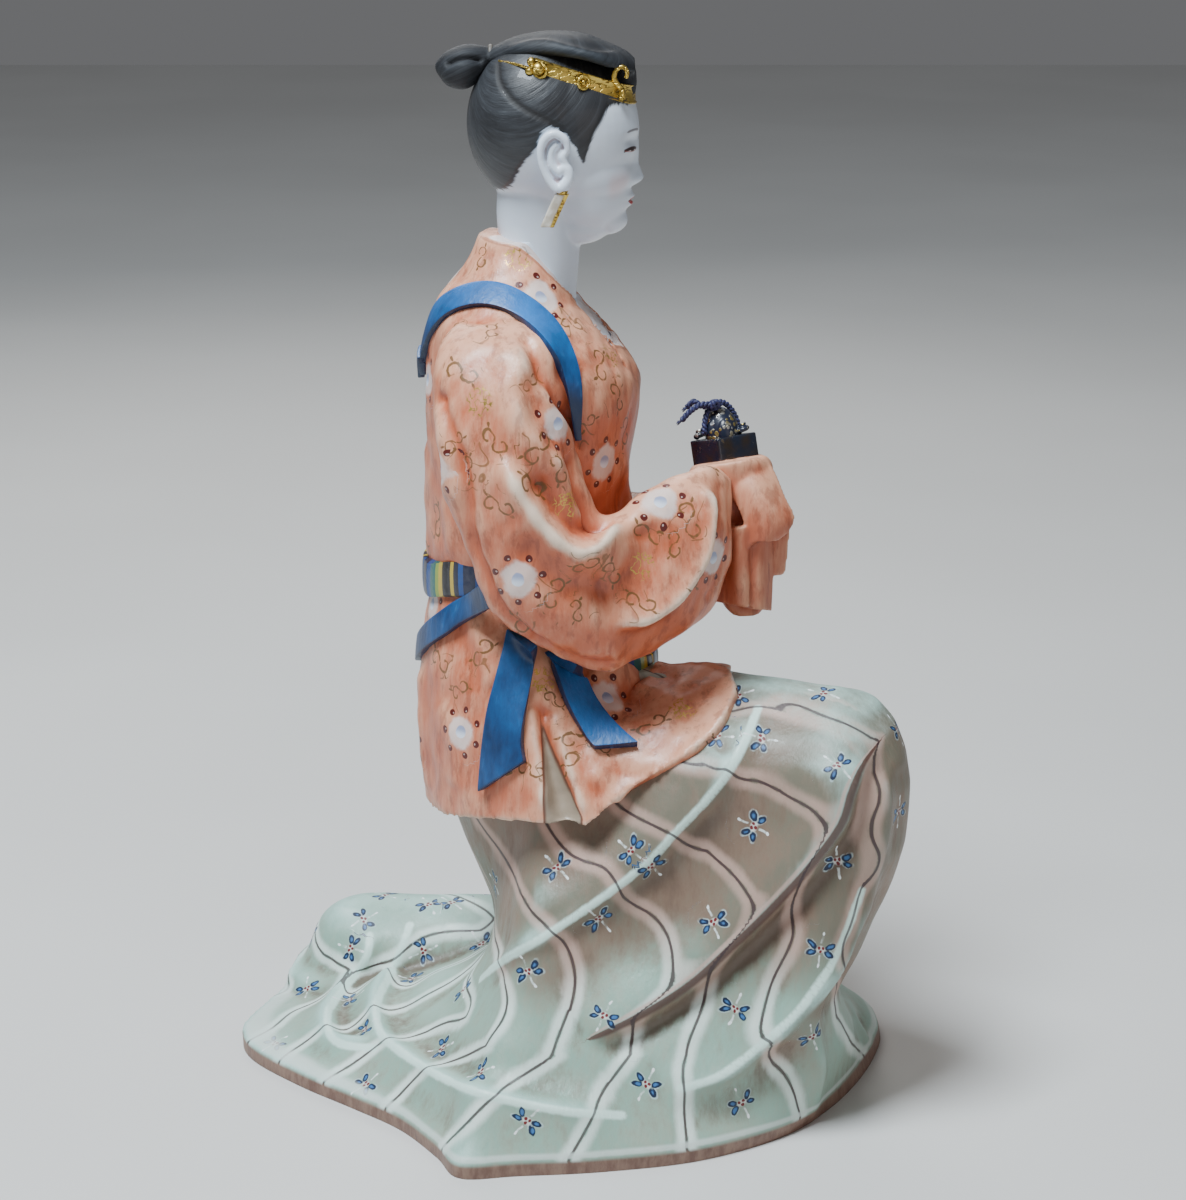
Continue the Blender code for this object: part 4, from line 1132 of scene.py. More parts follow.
wire(leafy * 0.85, "Metallic")
wire(streaks.ramp(0.2, 0.9, 0.28, 0.5), "Roughness")
relief(streaks + noise(start, 900, 2) * 0.4, 0.0003, 0.45)
dress(tunic, tunic_material)
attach(tunic, "root")
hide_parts("figure")


# The belt: a broad band over the waist, cast with the body and painted in upright bars like woven silk:
# black, yellow, green, blue and navy.
belt_height = 10
belt = loft("belt", [belt_ring(rise, 2.2 - 2.6 * abs(rise / belt_height - 0.5) ** 3, 180)
                     for rise in np.linspace(-0.2, belt_height + 0.2, 9)])
belt_material, start = finish("painted belt", 0.35)
east, north, _ = start.node("TexCoord", out="Object").parts()
turn = east.sum("ARCTAN2", north + (-0.016)) * (36 / (2 * math.pi))
run = (turn * 0.25 + (noise(start, 90) - 0.5) * 0.03).sum("FRACT")
bars = start.node("ValToRGB", {"stops": [
    (0.0, (0.012, 0.01, 0.012)), (0.12, (0.60, 0.42, 0.03)), (0.2, (0.28, 0.36, 0.06)),
    (0.28, (0.015, 0.13, 0.12)), (0.42, (0.01, 0.06, 0.24)), (0.56, (0.006, 0.010, 0.04)),
    (0.74, (0.012, 0.07, 0.26)), (0.82, (0.012, 0.012, 0.03)), (0.90, (0.58, 0.40, 0.03)),
    (0.96, (0.012, 0.01, 0.012))]}, {0: run})
bars.socket.node.color_ramp.interpolation = "CONSTANT"
colour = (noise(start, 300) - 0.5).size().fade(0.0, 0.3, 0.12).paint(bars, (0.20, 0.20, 0.20))
wire(colour, "Base Color")
relief((run * 24).sum("SINE") + noise(start, 600), 0.0003, 0.6)
dress(belt, belt_material, 0.7)
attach(belt, "root")
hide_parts("figure")


# The ribbons: blue straps that cross on the back, a ribbon round the hips and its two hanging ends.
# They are flat strips modelled on the clay, a little proud of it, and brushed in two blues, with the lighter
# blue more on faces turned up as painted light.
def laid_strip(name, first, second, tree, lift=0.9, thickness=2.2, smoothing=12, tucked=0):
    """A flat strip between two edge lines, laid on a surface and lifted a little."""
    rows = []
    for begin, end in zip(first, second):
        for share in np.linspace(0, 1, 9):
            spot, way, _, _ = tree.find_nearest(world(begin * (1 - share) + end * share))
            rows.append(measured(spot + way * (lift + 0.4 * math.sin(math.pi * share)) * 0.001))
    rows = np.array(rows).reshape(len(first), 9, 3)
    for _ in range(smoothing):
        rows[1:-1] = (rows[:-2] + 2 * rows[1:-1] + rows[2:]) / 4
        rows[:, 1:-1] = (rows[:, :-2] + 2 * rows[:, 1:-1] + rows[:, 2:]) / 4
    for back in range(tucked):
        way = tree.find_nearest(world(rows[-1 - back, 4]))[1]
        rows[-1 - back] -= np.array((-way.y, -way.x, way.z)) * (tucked - back) * 5.0 / tucked
    rows = rows.reshape(-1, 3)
    faces = [(i * 9 + j, (i + 1) * 9 + j, (i + 1) * 9 + j + 1, i * 9 + j + 1)
             for i in range(len(first) - 1) for j in range(8)]
    piece = make(name, rows, faces)
    outward(piece)
    apply(piece, "SMOOTH", factor=0.4, iterations=3)
    apply(piece, "SOLIDIFY", thickness=thickness * 0.001, offset=0)
    apply(piece, "BEVEL", width=0.0004, segments=2)
    return piece


def along_line(line, half_width, tree, count=60):
    """Both edges of a strip of one width along a line on a surface."""
    middle = through(line, count)
    heading = np.gradient(middle, axis=0)
    aside = []
    for point, way in zip(middle, heading):
        normal = tree.find_nearest(world(point))[1]
        normal = np.array((-normal.y, -normal.x, normal.z))
        cross = np.cross(way, normal)
        aside.append(cross / np.linalg.norm(cross) * half_width)
    return middle - aside, middle + aside


# Edges are followed in the photograph where it shows them; what lies behind is a listed middle line.
strap_outer = [(425, 325), (440, 302), (470, 287), (500, 285), (530, 300), (560, 330), (576, 370), (580, 400),
               (578, 440)]
strap_inner = [(427, 345), (445, 320), (470, 308), (500, 310), (530, 330), (550, 355), (560, 380), (570, 410),
               (574, 440)]
hanging_end = ([(509, 629), (498, 669), (492, 706), (487, 739), (483, 793)],
               [(537, 644), (532, 676), (527, 706), (524, 743), (528, 762)])
swept_end = ([(545, 651), (554, 681), (567, 711), (584, 739), (594, 750)],
             [(578, 664), (584, 686), (599, 711), (616, 729), (640, 747)])
left_strap = [(-1, -40, 204), (-4, -43, 216), (-9, -42, 232), (-20, -39, 243), (-36, -34, 245),
              (-47, -24, 238), (-50, -14, 233), (-52, -5, 227), (-52, 2, 221)]
hip_pixels = [(422, 643), (443, 627), (468, 609), (498, 587)]
hip_line = np.concatenate(([(-28, -44, 140), (-40, -38, 135), (-50, -26, 131), (-56, -6, 130)],
                           seen(tunic_tree, hip_pixels)))
behind = along_line([(-52, -3, 221), (-52, 1, 225), (-51, 5, 229)], 3.2, tunic_tree, 14)
over_knot = along_line([(-52, -4, 219), (-52, 0, 223), (-52, 4, 227)], 2.6, tunic_tree, 12)
ribbons = [
    laid_strip("right strap", np.concatenate((behind[1], drawn(tunic_tree, strap_outer, 60))),
               np.concatenate((behind[0], drawn(tunic_tree, strap_inner, 60))), tunic_tree),
    laid_strip("left strap", *along_line(left_strap, 3.4, tunic_tree, 90), tunic_tree),
    laid_strip("strap knot", *over_knot, tunic_tree, 1.6),
    laid_strip("hip ribbon", *along_line(hip_line, 3.7, tunic_tree, 90), tunic_tree, 1.5, 2.4, 30, 9),
]
for name, edges in (("hanging end", hanging_end), ("swept end", swept_end)):
    near_edge, far_edge = (drawn(tunic_tree, edge, 40) for edge in edges)
    ribbons.append(laid_strip(name, near_edge, far_edge, tunic_tree, 1.8, 2.8, 24))
ribbon_material, start = finish("painted ribbon", 0.4)
# Painted light: faces turned up get more of the lighter blue, mixed with random washes.
light = start.node("NewGeometry", out="Normal").parts()[2]
brushed = noise(start, (500, 500, 140), 4, 0.6)
wash = noise(start, 70, 3)
lightness = (light * 0.55 + wash * 0.7 + brushed * 0.3).ramp(0.35, 1.2)
colour = lightness.paint((0.006, 0.022, 0.075), (0.018, 0.17, 0.50))
colour = brushed.ramp(0.62, 0.82, 0.0, 0.3).paint(colour, (0.10, 0.28, 0.55))
wire(colour, "Base Color")
relief(brushed + wash, 0.0004, 0.6)
ribbons = joined("ribbons", ribbons)
dress(ribbons, ribbon_material, 0.7)
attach(ribbons, "root")
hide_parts("figure")


# The hand cloth: a plain cloth over both joined hands, with a pointed flap and pleats that hang below.
# It is cast with the sleeves and painted in the same earth colour without any pattern.
cloth_rows = [
    (147, 46.5, 5, 14), (150, 46, 7, 17), (158, 45, 9, 20), (166, 43.5, 10.5, 21), (175, 42, 11.8, 20.5),
    (184, 41.5, 12.5, 18), (189.5, 41.5, 12.6, 16), (192.5, 41.2, 11.3, 13.5), (193.4, 41.2, 9, 11),
]
rings = []
for up, forward, depth, width in through(cloth_rows, 40):
    ring = oval((forward, 3, up), (depth, 0, 0), (0, width, 0), 72, 2.8)
    near_side = np.interp(up, (160, 186), (12.5, 18.5))
    ring[:, 1] = np.where(ring[:, 1] > 3, 3 + (ring[:, 1] - 3) * (near_side - 3) / width, ring[:, 1])
    lean = (up - 147) / 46.4
    ring[:, 2] += lean * (0.155 * (ring[:, 0] - 40.4) + 0.18 * (ring[:, 1] - 2))
    rings.append(ring)


def on_plane(pixels, rights):
    """The points behind pixels of the photograph that lie at given distances to the right."""
    found = []
    for (x, y), right in zip(pixels, rights):
        way = sight(x, y)
        share = (right + eye.x * 1000) / -way.x
        found.append((-way.y * share - eye.y * 1000, right, eye.z * 1000 + way.z * share))
    return np.array(found)


def sheet(name, rows, thickness, count=24):
    """A thick sheet through rows of points."""
    rows = np.array([through(row, count) for row in rows])
    rows = np.array([through(rows[:, i], count) for i in range(count)])
    faces = [(i * count + j, i * count + j + 1, (i + 1) * count + j + 1, (i + 1) * count + j)
             for i in range(count - 1) for j in range(count - 1)]
    piece = make(name, rows.reshape(-1, 3), faces)
    outward(piece)
    apply(piece, "SOLIDIFY", thickness=thickness * 0.001, offset=0)
    return piece


flap = sheet("flap", [
    on_plane([(704, 470), (735, 464), (764, 459)], (8, 10, 9)),
    on_plane([(722, 484), (750, 478), (771, 478)], (13.5, 15.5, 12)),
    on_plane([(738, 503), (760, 500), (779, 499)], (17, 19, 15)),
    on_plane([(746, 524), (768, 522), (789, 520)], (19, 20.5, 16.5)),
    on_plane([(753, 545), (762, 539), (773, 533)], (19.5, 20.5, 18.5))], 6.0)
pleat_columns = (700, 714, 728, 743, 747, 756, 768)
pleat_rights = (13, 14.5, 17, 21.5, 13, 19, 12)
pleats = sheet("pleats", [
    on_plane([(x, y + 0.2 * (x - 743) * (y > 600)) for x in pleat_columns], pleat_rights)
    for y in (526, 555, 585, 606)], 3.4, 40)
back_fold = sheet("back fold", [
    on_plane([(764, 520), (776, 522), (785, 522)], (10, 11, 8)),
    on_plane([(764, 550), (775, 550), (783, 548)], (10, 11, 8)),
    on_plane([(764, 574), (772, 574), (779, 572)], (10, 11, 8))], 3.0)
hand_cloth = run_together("hand_cloth", [loft("hands", rings), flap, pleats, back_fold], 0.0006, 2)
points, normals = read(hand_cloth), read(hand_cloth, "normal")
rise = 0.2 * np.sin(points[:, 0] * 0.3 + points[:, 2] * 0.2) * np.cos(points[:, 1] * 0.27)
for line, height, soft, sharp in (
        ([(50, -10, 188), (57, -12, 172), (56, -12, 152)], 1.8, 5, 2.5),
        ([(52, 4, 188), (58, 4, 170), (56, 4, 150)], 1.6, 5, 2.5),
        ([(44, -18, 180), (48, -20, 164), (50, -18, 150)], 1.6, 4, 2.5)):
    rise += fold(points, normals, through(line, 30), height, soft, sharp)
reshape(hand_cloth, points + normals * rise[:, None])
store_form(hand_cloth, 40)
cloth_material, start = finish("plain cloth clay", 0.5)
# The same earth colour with painted light and shade: pale on crests and faces turned up, deep in hollows.
colour, streaks = shaded_robe_ground(
    start, kept(start, "crest") * 1.4, kept(start, "broad"), (0.72, 0.36, 0.22), (0.48, 0.125, 0.06),
    (0.18, 0.026, 0.010))
wire(colour, "Base Color")
relief(streaks + noise(start, 900, 2) * 0.4, 0.0003, 0.4)
dress(hand_cloth, cloth_material)
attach(hand_cloth, "root")
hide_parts("figure")


# The head and neck: moulded apart in real dolls and set into the collar, with a white shell ground for the
# skin, fine painted features and hair painted over a smooth clay cap.
def ball(name, centre, halves, segments=48):
    """An egg-shaped form with three half axes."""
    bpy.ops.object.select_all(action="DESELECT")
    bpy.ops.mesh.primitive_uv_sphere_add(segments=segments, ring_count=segments // 2, radius=0.001)
    piece = bpy.context.object
    piece.name = name
    reshape(piece, read(piece) * halves + centre)
    outward(piece)
    return piece


def sweep(name, line, radii, sides=14):
    """A round bar through the points of a line."""
    line = np.asarray(line, float)
    heading = np.gradient(line, axis=0)
    heading /= np.linalg.norm(heading, axis=1)[:, None]
    aside = np.cross(heading[0], (0.31, 0.27, 0.91))
    rings = []
    for point, way, radius in zip(line, heading, np.broadcast_to(radii, len(line))):
        aside = aside - way * (aside @ way)
        aside /= np.linalg.norm(aside)
        rings.append(oval(point, aside * radius, np.cross(way, aside) * radius, sides))
    return loft(name, rings)


forms = [
    ball("skull", (-11, 0, 292.5), (24.6, 19.6, 24.5)),
    ball("jaw", (-2.2, 0, 275), (12.8, 13, 13.6)),
    ball("cheeks", (-2.5, 0, 280.5), (14.2, 15.4, 12)),
    ball("back hair", (-15.3, 0, 294.2), (21.4, 20.4, 24.4)),
    ball("chin", (4.6, 0, 266.2), (5.0, 6.4, 4.8)),
    ball("throat", (-4.5, 0, 264.5), (10, 9, 6)),
    loft("neck", [oval((forward, 0, up), (radius, 0, 0), (0, radius * 0.94, 0))
                  for up, forward, radius in through([(232, -19, 14), (244, -17.5, 12.6), (256, -16, 12),
                                                      (268, -16, 12.5), (280, -14, 14)], 20)]),
]
head = run_together("head", forms, 0.0006, 9)

points, normals = read(head), read(head, "normal")
forward, right, up = points.T
front = np.clip(normals[:, 0] * 1.6, 0, 1) * np.clip((forward + 4) / 6, 0, 1)
aside = np.abs(right)


def swell(across, height, wide, tall, amount):
    """A soft swelling of the face, alike on both sides."""
    return amount * np.exp(-((aside - across) / wide) ** 2 - ((up - height) / tall) ** 2)


along_nose = np.clip((290.5 - up) / 12.5, 0, 1)
below_tip = np.clip((up - 276.0) / 2.4, 0, 1)
face = 3.4 * along_nose ** 1.3 * below_tip ** 0.6 * np.exp(-(aside / (1.5 + 1.4 * along_nose)) ** 2)
face += swell(2.4, 277.6, 1.5, 1.3, 1.3) - swell(6.8, 289.4, 3.8, 2.3, 1.5) + swell(6.8, 287.6, 3.2, 1.6, 0.9)
face += swell(6.5, 293.0, 4.5, 1.8, 0.4) + swell(8.5, 279.5, 4.5, 4.5, 0.6) + swell(0, 272.0, 5.0, 4.6, 1.2)
face += swell(0, 272.9, 2.6, 0.8, 0.8) + swell(0, 270.6, 2.2, 0.9, 0.9) - swell(0, 271.7, 3.4, 0.35, 0.5)
face += swell(0, 264.6, 3.6, 2.4, 0.7) - swell(0, 269.0, 3.6, 1.0, 0.25)
points[:, 0] += face * front
reshape(head, points)
apply(head, "SMOOTH", factor=0.4, iterations=1)

head_tree = surface_tree(head)
parting = drawn(head_tree, [(499, 64), (501, 83), (513, 100), (530, 112), (549, 121), (563, 129)])
points, normals = read(head), read(head, "normal")
mirrored = points * (1, -1, 1)
groove = np.minimum(nearest(points, parting)[0], nearest(mirrored, parting)[0])
groove_depth, groove_width = 0.35, 0.9
points -= normals * (groove_depth * np.exp(-(groove / groove_width) ** 2))[:, None]
hairline_pixels = [
    (626, 104), (618, 104), (608, 107), (601, 121), (593, 135), (588, 150), (584, 163), (580, 158),
    (576, 148), (566, 135), (553, 127), (542, 133), (534, 150), (522, 165), (515, 179), (507, 188),
    (492, 189),
]
hairline = drawn(head_tree, hairline_pixels, 120)
line_angles, line_heights = height_round(hairline, -11, 0, -1)
angle = np.arctan2(np.abs(points[:, 1]), points[:, 0] + 11)
head_radius = 22
edge = np.column_stack((line_angles * head_radius, line_heights, np.zeros(len(line_angles))))
spots = np.column_stack((angle * head_radius, points[:, 2], np.zeros(len(points))))
hair = nearest(spots, edge)[0] * np.where(points[:, 2] > np.interp(angle, line_angles, line_heights), 1, -1)
reshape(head, points + normals * (0.35 * np.clip(hair / 0.8, 0, 1))[:, None])
store(head, "hair", hair)
store(head, "groove", groove)
store(head, "crest", stand_out(head, 60))

knot_centre = np.array((-36.2, 0, 310))


def combed(piece):
    """Stores the way the hair runs: strands fan out from the knot at the back of the crown."""
    gap = read(piece) - knot_centre
    turn = np.arctan2(gap[:, 1], -gap[:, 2] * 0.9 + gap[:, 0] * 0.4)
    store(piece, "strand", np.column_stack((np.cos(turn), np.sin(turn), np.linalg.norm(gap, axis=1) * 0.004)))


combed(head)


def hair_paint(start):
    """Dark combed hair: fine pale bluish strands over a warm charcoal ground, for combed lines and a painted
    sheen.
    """
    strand = kept(start, "strand", "Vector")
    fine = noise(start, 34.0, 4, 0.7, strand)
    broad_lock = noise(start, 7.0, 3, 0.5, strand)
    cloudy = noise(start, 60, 3)
    lightness = (fine * 0.7 + broad_lock * 0.5 + cloudy * 0.3).ramp(0.55, 1.05)
    colour = lightness.paint((0.012, 0.012, 0.014), (0.045, 0.049, 0.056))
    return fine.ramp(0.58, 0.8, 0.0, 0.3).paint(colour, (0.085, 0.095, 0.11)), fine


skin_material, start = finish("white shell ground", 0.32, coat=0.15)
east, north, up = (part * 1000 for part in start.node("TexCoord", out="Object").parts())
ahead, aside = north * -1, east.size()
front_only = ahead.ramp(3.0, 6.0)
cloudy = noise(start, 70, 3)
skin = cloudy.ramp(0.3, 0.8).paint((0.66, 0.74, 0.84), (0.74, 0.82, 0.92))
blush = leaf(aside, up, 10.5, 277.5, 6.5, 6, 0).fade(0.1, 1.0, 0.45) * front_only
skin = blush.paint(skin, (0.74, 0.50, 0.50))
# Painted shade: a warm rose darkens the hollows of the face and neck.
skin = (kept(start, "crest") * -1).ramp(0.35, 1.6, 0.0, 0.7).paint(skin, (0.62, 0.36, 0.33))
from_brow = aside - 7.0
brow = (up - 292.0 - (1 - from_brow * from_brow * 0.035)).size() + from_brow.size().ramp(2.6, 4.2, 0.0, 0.7)
brow = brow.fade(0.2, 0.55, 0.75) * front_only * aside.band(3.0, 3.6, 10.6, 11.2)
skin = brow.paint(skin, (0.07, 0.04, 0.04))
bow = 1 - (aside - 6.8) * (aside - 6.8) * 0.085
eye_height = 287.2
lid = up - eye_height - bow * 0.45
white = lid.fade(-0.15, 0.05) * (up - eye_height + bow * 0.45).ramp(-0.1, 0.15) * bow.ramp(0.0, 0.1)
skin = (white * front_only).paint(skin, (0.86, 0.86, 0.87))
iris = leaf(aside, up, 6.7, 287.1, 1.1, 1.1, 0)
iris_colour = iris.ramp(0.3, 0.6).paint((0.01, 0.008, 0.008), (0.05, 0.022, 0.015))
skin = (iris.fade(0.85, 1.1) * white * front_only).paint(skin, iris_colour)
lash = lid.size().fade(0.3, 0.6) * bow.ramp(-0.28, 0.02)
skin = (lash * front_only).paint(skin, (0.04, 0.018, 0.018))
lower_lash = (up - eye_height + bow * 0.5).size().fade(0.06, 0.26, 0.7) * bow.ramp(-0.05, 0.1)
skin = (lower_lash * front_only).paint(skin, (0.35, 0.08, 0.07))
mouth = 271.7
lip_wave = 1 - aside * aside * 0.085
upper_lip = (up - mouth - lip_wave * 1.15 + aside.fade(0.0, 0.9, 0.35)).fade(-0.1, 0.15)
lips = upper_lip * (up - mouth + lip_wave * 1.5).ramp(-0.15, 0.1)
skin = (lips * lip_wave.ramp(0.0, 0.1) * front_only).paint(skin, (0.42, 0.045, 0.045))
lip_line = (up - mouth).size().fade(0.08, 0.25, 0.9) * lip_wave.ramp(-0.1, 0.1) * front_only
skin = lip_line.paint(skin, (0.10, 0.01, 0.012))
colour, fine = hair_paint(start)
# Painted shade: the parting groove is painted near black.
parted = kept(start, "groove").fade(0.5, 1.5)
colour = (parted * 0.9).paint(colour, (0.010, 0.009, 0.010))
hair = kept(start, "hair") + (fine - 0.5) * 3.2
is_hair = hair.ramp(-0.5, 0.35)
colour = is_hair.paint(skin, colour)
wire(colour, "Base Color")
wire((is_hair * (parted + 1)).ramp(0.0, 2.0, 0.3, 0.62), "Roughness")
relief(is_hair * (fine + 0.3), 0.0004, 0.5)
dress(head, skin_material)
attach(head, "root")
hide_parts("figure")


# The ears: moulded with the head, with a rim, an inner fold and a hollow bowl on each side.
# They have the same white shell ground as the skin, with a darker rose in the hollows as painted shade.
ear_forms = []
for side in (1, -1):
    for pixels, right, radii in (
            ([(568, 151), (565, 140), (555, 134), (546, 138), (541, 148), (541, 160), (545, 172), (551, 183),
              (558, 190)],
             21.2, (0.8, 1.2, 1.3, 1.3, 1.2, 1.1, 1.1, 1.2, 1.4)),
            ([(557, 190), (564, 186), (569, 177), (566, 168), (559, 172)], 20.8, (1.5, 1.8, 1.6, 1.5, 1.0)),
            ([(558, 143), (552, 150), (551, 160), (555, 169), (562, 173)], 20.6, (0.8, 1.0, 1.0, 1.1, 1.3)),
            ([(567, 151), (563, 157), (566, 164)], 20.9, (0.9, 1.2, 0.9))):
        line = through(on_plane(pixels, np.full(len(pixels), right)) * (1, side, 1), 50)
        radii = np.interp(np.linspace(0, 1, 50), np.linspace(0, 1, len(radii)), radii)
        ear_forms.append(sweep("ear rim", line, radii))
    middle = on_plane([(555, 160)], (19.0,))[0] * (1, side, 1)
    ear_forms.append(ball("ear bowl", middle, (4.2, 1.7, 7.4)))
ears = run_together("ears", ear_forms, 0.00042, 2)
store(ears, "crest", stand_out(ears, 40))
ear_material, start = finish("ear skin", 0.32, coat=0.15)
skin = noise(start, 70, 3).ramp(0.3, 0.8).paint((0.66, 0.74, 0.84), (0.74, 0.82, 0.92))
# Painted shade: dark rose in the hollows of the ear.
skin = (kept(start, "crest") * -1).ramp(0.1, 0.9, 0.0, 0.85).paint(skin, (0.42, 0.20, 0.17))
wire(skin, "Base Color")
dress(ears, ear_material)
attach(ears, "root")
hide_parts("figure")


# The dressed hair: a flat folded roll over the crown, tied at the back, and a pointed knot behind the tie.
# Both are cast clay lumps with combed lines, set on the cap of hair.
roll_rows = [
    (-31, 313.4, 2.2, 2.6, 0), (-28, 314.2, 2.6, 4.6, 0.4), (-22, 316.4, 2.8, 9, 0.8),
    (-12, 317.6, 3.0, 13, 1.2), (-3, 317.0, 3.0, 14.5, 1.6), (4, 314.6, 2.9, 13.6, 1.4),
    (9.5, 312.2, 2.8, 10.8, 0.8), (12.2, 310.8, 1.9, 7.6, 0.5),
]
roll = []
for forward, up, thick, width, droop in through(roll_rows, 60):
    ring = oval((forward, 0, up), (0, 0, thick), (0, width, 0), 90, 2.3)
    ring[:, 2] -= droop * (ring[:, 1] / width) ** 2
    roll.append(ring)
tip = [(-29, 313.6, 1.6, 1.6), (-31, 312.6, 3.6, 3.6), (-35, 310.9, 6.0, 6.4), (-38.5, 310.2, 6.4, 7.0),
       (-42.5, 309.9, 5.0, 5.6), (-45, 310.2, 2.4, 2.8), (-46, 310.4, 0.7, 0.7)]
knot = [oval((forward, 0, up), (0, 0, thick), (0, width, 0), 60)
        for forward, up, thick, width in through(tip, 34)]
lock_rows = [(300, 7.2, 4.2), (303, 8.2, 4.2), (306, 9.0, 3.8), (309, 9.2, 3.4), (312, 8.6, 3.2)]
front_lock = loft("front lock", [oval((forward, 0, up), (half, 0, 0), (0, 6.4, 0), 40, 2.6)
                                 for up, forward, half in lock_rows])
roll_hair = run_together("hair_roll", [loft("roll", roll), loft("knot", knot), front_lock], 0.0006, 2)
roll_tree = surface_tree(roll_hair)
points, normals = read(roll_hair), read(roll_hair, "normal")
rise = np.zeros(len(points))
roll_fold = drawn(roll_tree, [(504, 54), (522, 45), (545, 42), (568, 49), (591, 55), (612, 55), (628, 51)])
knot_crease = drawn(roll_tree, [(448, 63), (455, 60), (463, 58), (472, 58), (480, 60)])
for mirror in (1, -1):
    rise += fold(points, normals, roll_fold * (1, mirror, 1), 0.7, 4, 1.6)
    rise -= crease(points, knot_crease * (1, mirror, 1), 1.5, 0.9)
reshape(roll_hair, points + normals * rise[:, None])
store(roll_hair, "crest", stand_out(roll_hair, 40))
combed(roll_hair)
hair_material, start = finish("painted hair", 0.55, specular=0.25)
colour, fine = hair_paint(start)
# Painted shade: near black in the hollows; painted highlight: a cool blue on the crests.
colour = (kept(start, "crest") * -1).ramp(0.2, 1.0, 0.0, 0.8).paint(colour, (0.010, 0.009, 0.010))
colour = kept(start, "crest").ramp(0.4, 1.2, 0.0, 0.3).paint(colour, (0.06, 0.08, 0.10))
wire(colour, "Base Color")
relief(fine, 0.0004, 0.5)
dress(roll_hair, hair_material)
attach(roll_hair, "root")
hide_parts("figure")


# The hair tie: a thin pale cord round the neck of the knot, cast with the hair and painted.
# It is one ring, pressed into the place where roll and knot meet.
tie_radius = 2.3
tie_line = [np.array((-29.8, tie_radius * math.cos(turn), 313.9 + tie_radius * math.sin(turn)))
            for turn in np.linspace(0, 2 * math.pi, 40)]
tie = sweep("hair_tie", tie_line, 0.75, 10)
tie_material, start = finish("pale tie", 0.5)
wire(noise(start, 700).ramp(0.3, 0.7).paint((0.04, 0.035, 0.03), (0.13, 0.115, 0.10)), "Base Color")
dress(tie, tie_material)
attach(tie, "root")
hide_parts("figure")


# The gilt ornaments: a headband with bosses and hooks, its pins, and the knobs and edges of the ear drops.
# They are raised in the clay and covered with brass powder in lacquer, with darker chasing in the hollows.
def round_cap(turn, side=1):
    """Where the band's middle lies on the cap of hair, in one direction, and the way out from there."""
    heading = np.array((math.cos(turn), side * math.sin(turn), 0))
    forward = 5.0
    for _ in range(4):
        level = np.interp(forward, (-17, -9.4, -0.9, 8.4, 13), (311.6, 309.4, 306.7, 303.5, 302.2))
        hit = head_tree.ray_cast(world((-11, 0, level)), Vector((-heading[1], -heading[0], 0)))[0]
        spot = measured(hit)
        forward = spot[0]
    return spot, heading


band = []
for turn in np.radians(np.linspace(-112, 112, 120)):
    middle, out = round_cap(turn)
    band.append([middle + out * a + np.array((0, 0, b)) for a, b in (
        (-1.2, -2.8), (1.2, -2.8), (1.6, -2.5), (1.2, -2.0), (1.1, 2.0), (1.5, 2.5), (1.1, 2.8),
        (-1.2, 2.8))])
gilt = [loft("headband", band)]
shells = []
for side in (1, -1):
    for turn, rise, size in ((106, 0.3, 2.0), (113, 1.7, 1.4), (115, -0.9, 1.4), (112, 0.4, 1.2)):
        middle, out = round_cap(math.radians(turn), side)
        gilt.append(ball("petal", middle + out * 1.4 + (0, 0, rise), (size, size, size), 20))
    for turn, size in ((104, 1.9), (62, 1.8)):
        middle, out = round_cap(math.radians(turn), side)
        aside = np.cross(out, (0, 0, 1))
        ring = [middle + out * 1.7 + size * (aside * math.cos(a) + np.array((0, 0, math.sin(a))))
                for a in np.linspace(0, 2 * math.pi, 30)]
        gilt.append(sweep("boss ring", ring, 0.5, 10))
        gilt.append(ball("boss", middle + out * 1.5, (0.9, 0.9, 0.9), 20))
    hook = on_plane([(622, 100), (622, 90), (617, 84), (614, 77), (617, 69), (623, 67), (627, 72), (626, 78)],
                    np.full(8, 11.6)) * (1, side, 1)
    gilt.append(sweep("hook", through(hook, 40), np.linspace(0.9, 0.6, 40)))
    pin = on_plane([(499, 61), (515, 64), (532, 69)], (7, 12.5, 16.5)) * (1, side, 1)
    gilt.append(sweep("pin", through(pin, 12), 0.4, 8))
    knob = on_plane([(562, 190)], (20.6,))[0] * (1, side, 1)
    gilt.append(ball("drop knob", knob, (1.8, 1.6, 1.9), 20))
    drop = through(on_plane([(562, 194), (556, 207), (547, 227)], (20.8, 20.0, 19.2)) * (1, side, 1), 16)
    gilt.append(loft("gilt edge", [[spot + (a, side * b, 0) for a, b in (
        (0.9, -0.8), (2.0, -0.8), (2.0, 0.7), (1.5, 1.1), (0.9, 1.1))] for spot in drop]))
    shells.append(loft("ear drop", [[spot + (a, side * b, 0) for a, b in (
        (-2.0, -0.8), (1.2, -0.8), (1.2, 0.6), (0.8, 0.9), (-1.6, 0.9), (-2.0, 0.5))] for spot in drop]))
gilt = joined("gilt_ornaments", gilt)
gilt_material, start = finish("brass powder", 0.33, metallic=1.0)
chased = (noise(start, (260, 260, 620), 2, 0.5) - 0.5).size().ramp(0.0, 0.05)
rubbed = noise(start, 400, 4, 0.6)
colour = (chased * 0.7 + rubbed * 0.9).ramp(0.35, 1.0).paint((0.20, 0.12, 0.025), (0.66, 0.47, 0.11))
wire(colour, "Base Color")
wire(rubbed.ramp(0.3, 0.7, 0.28, 0.5), "Roughness")
relief(chased + rubbed * 0.3, 0.0003, 0.6)
dress(gilt, gilt_material, 0.7)
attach(gilt, "root")
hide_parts("figure")


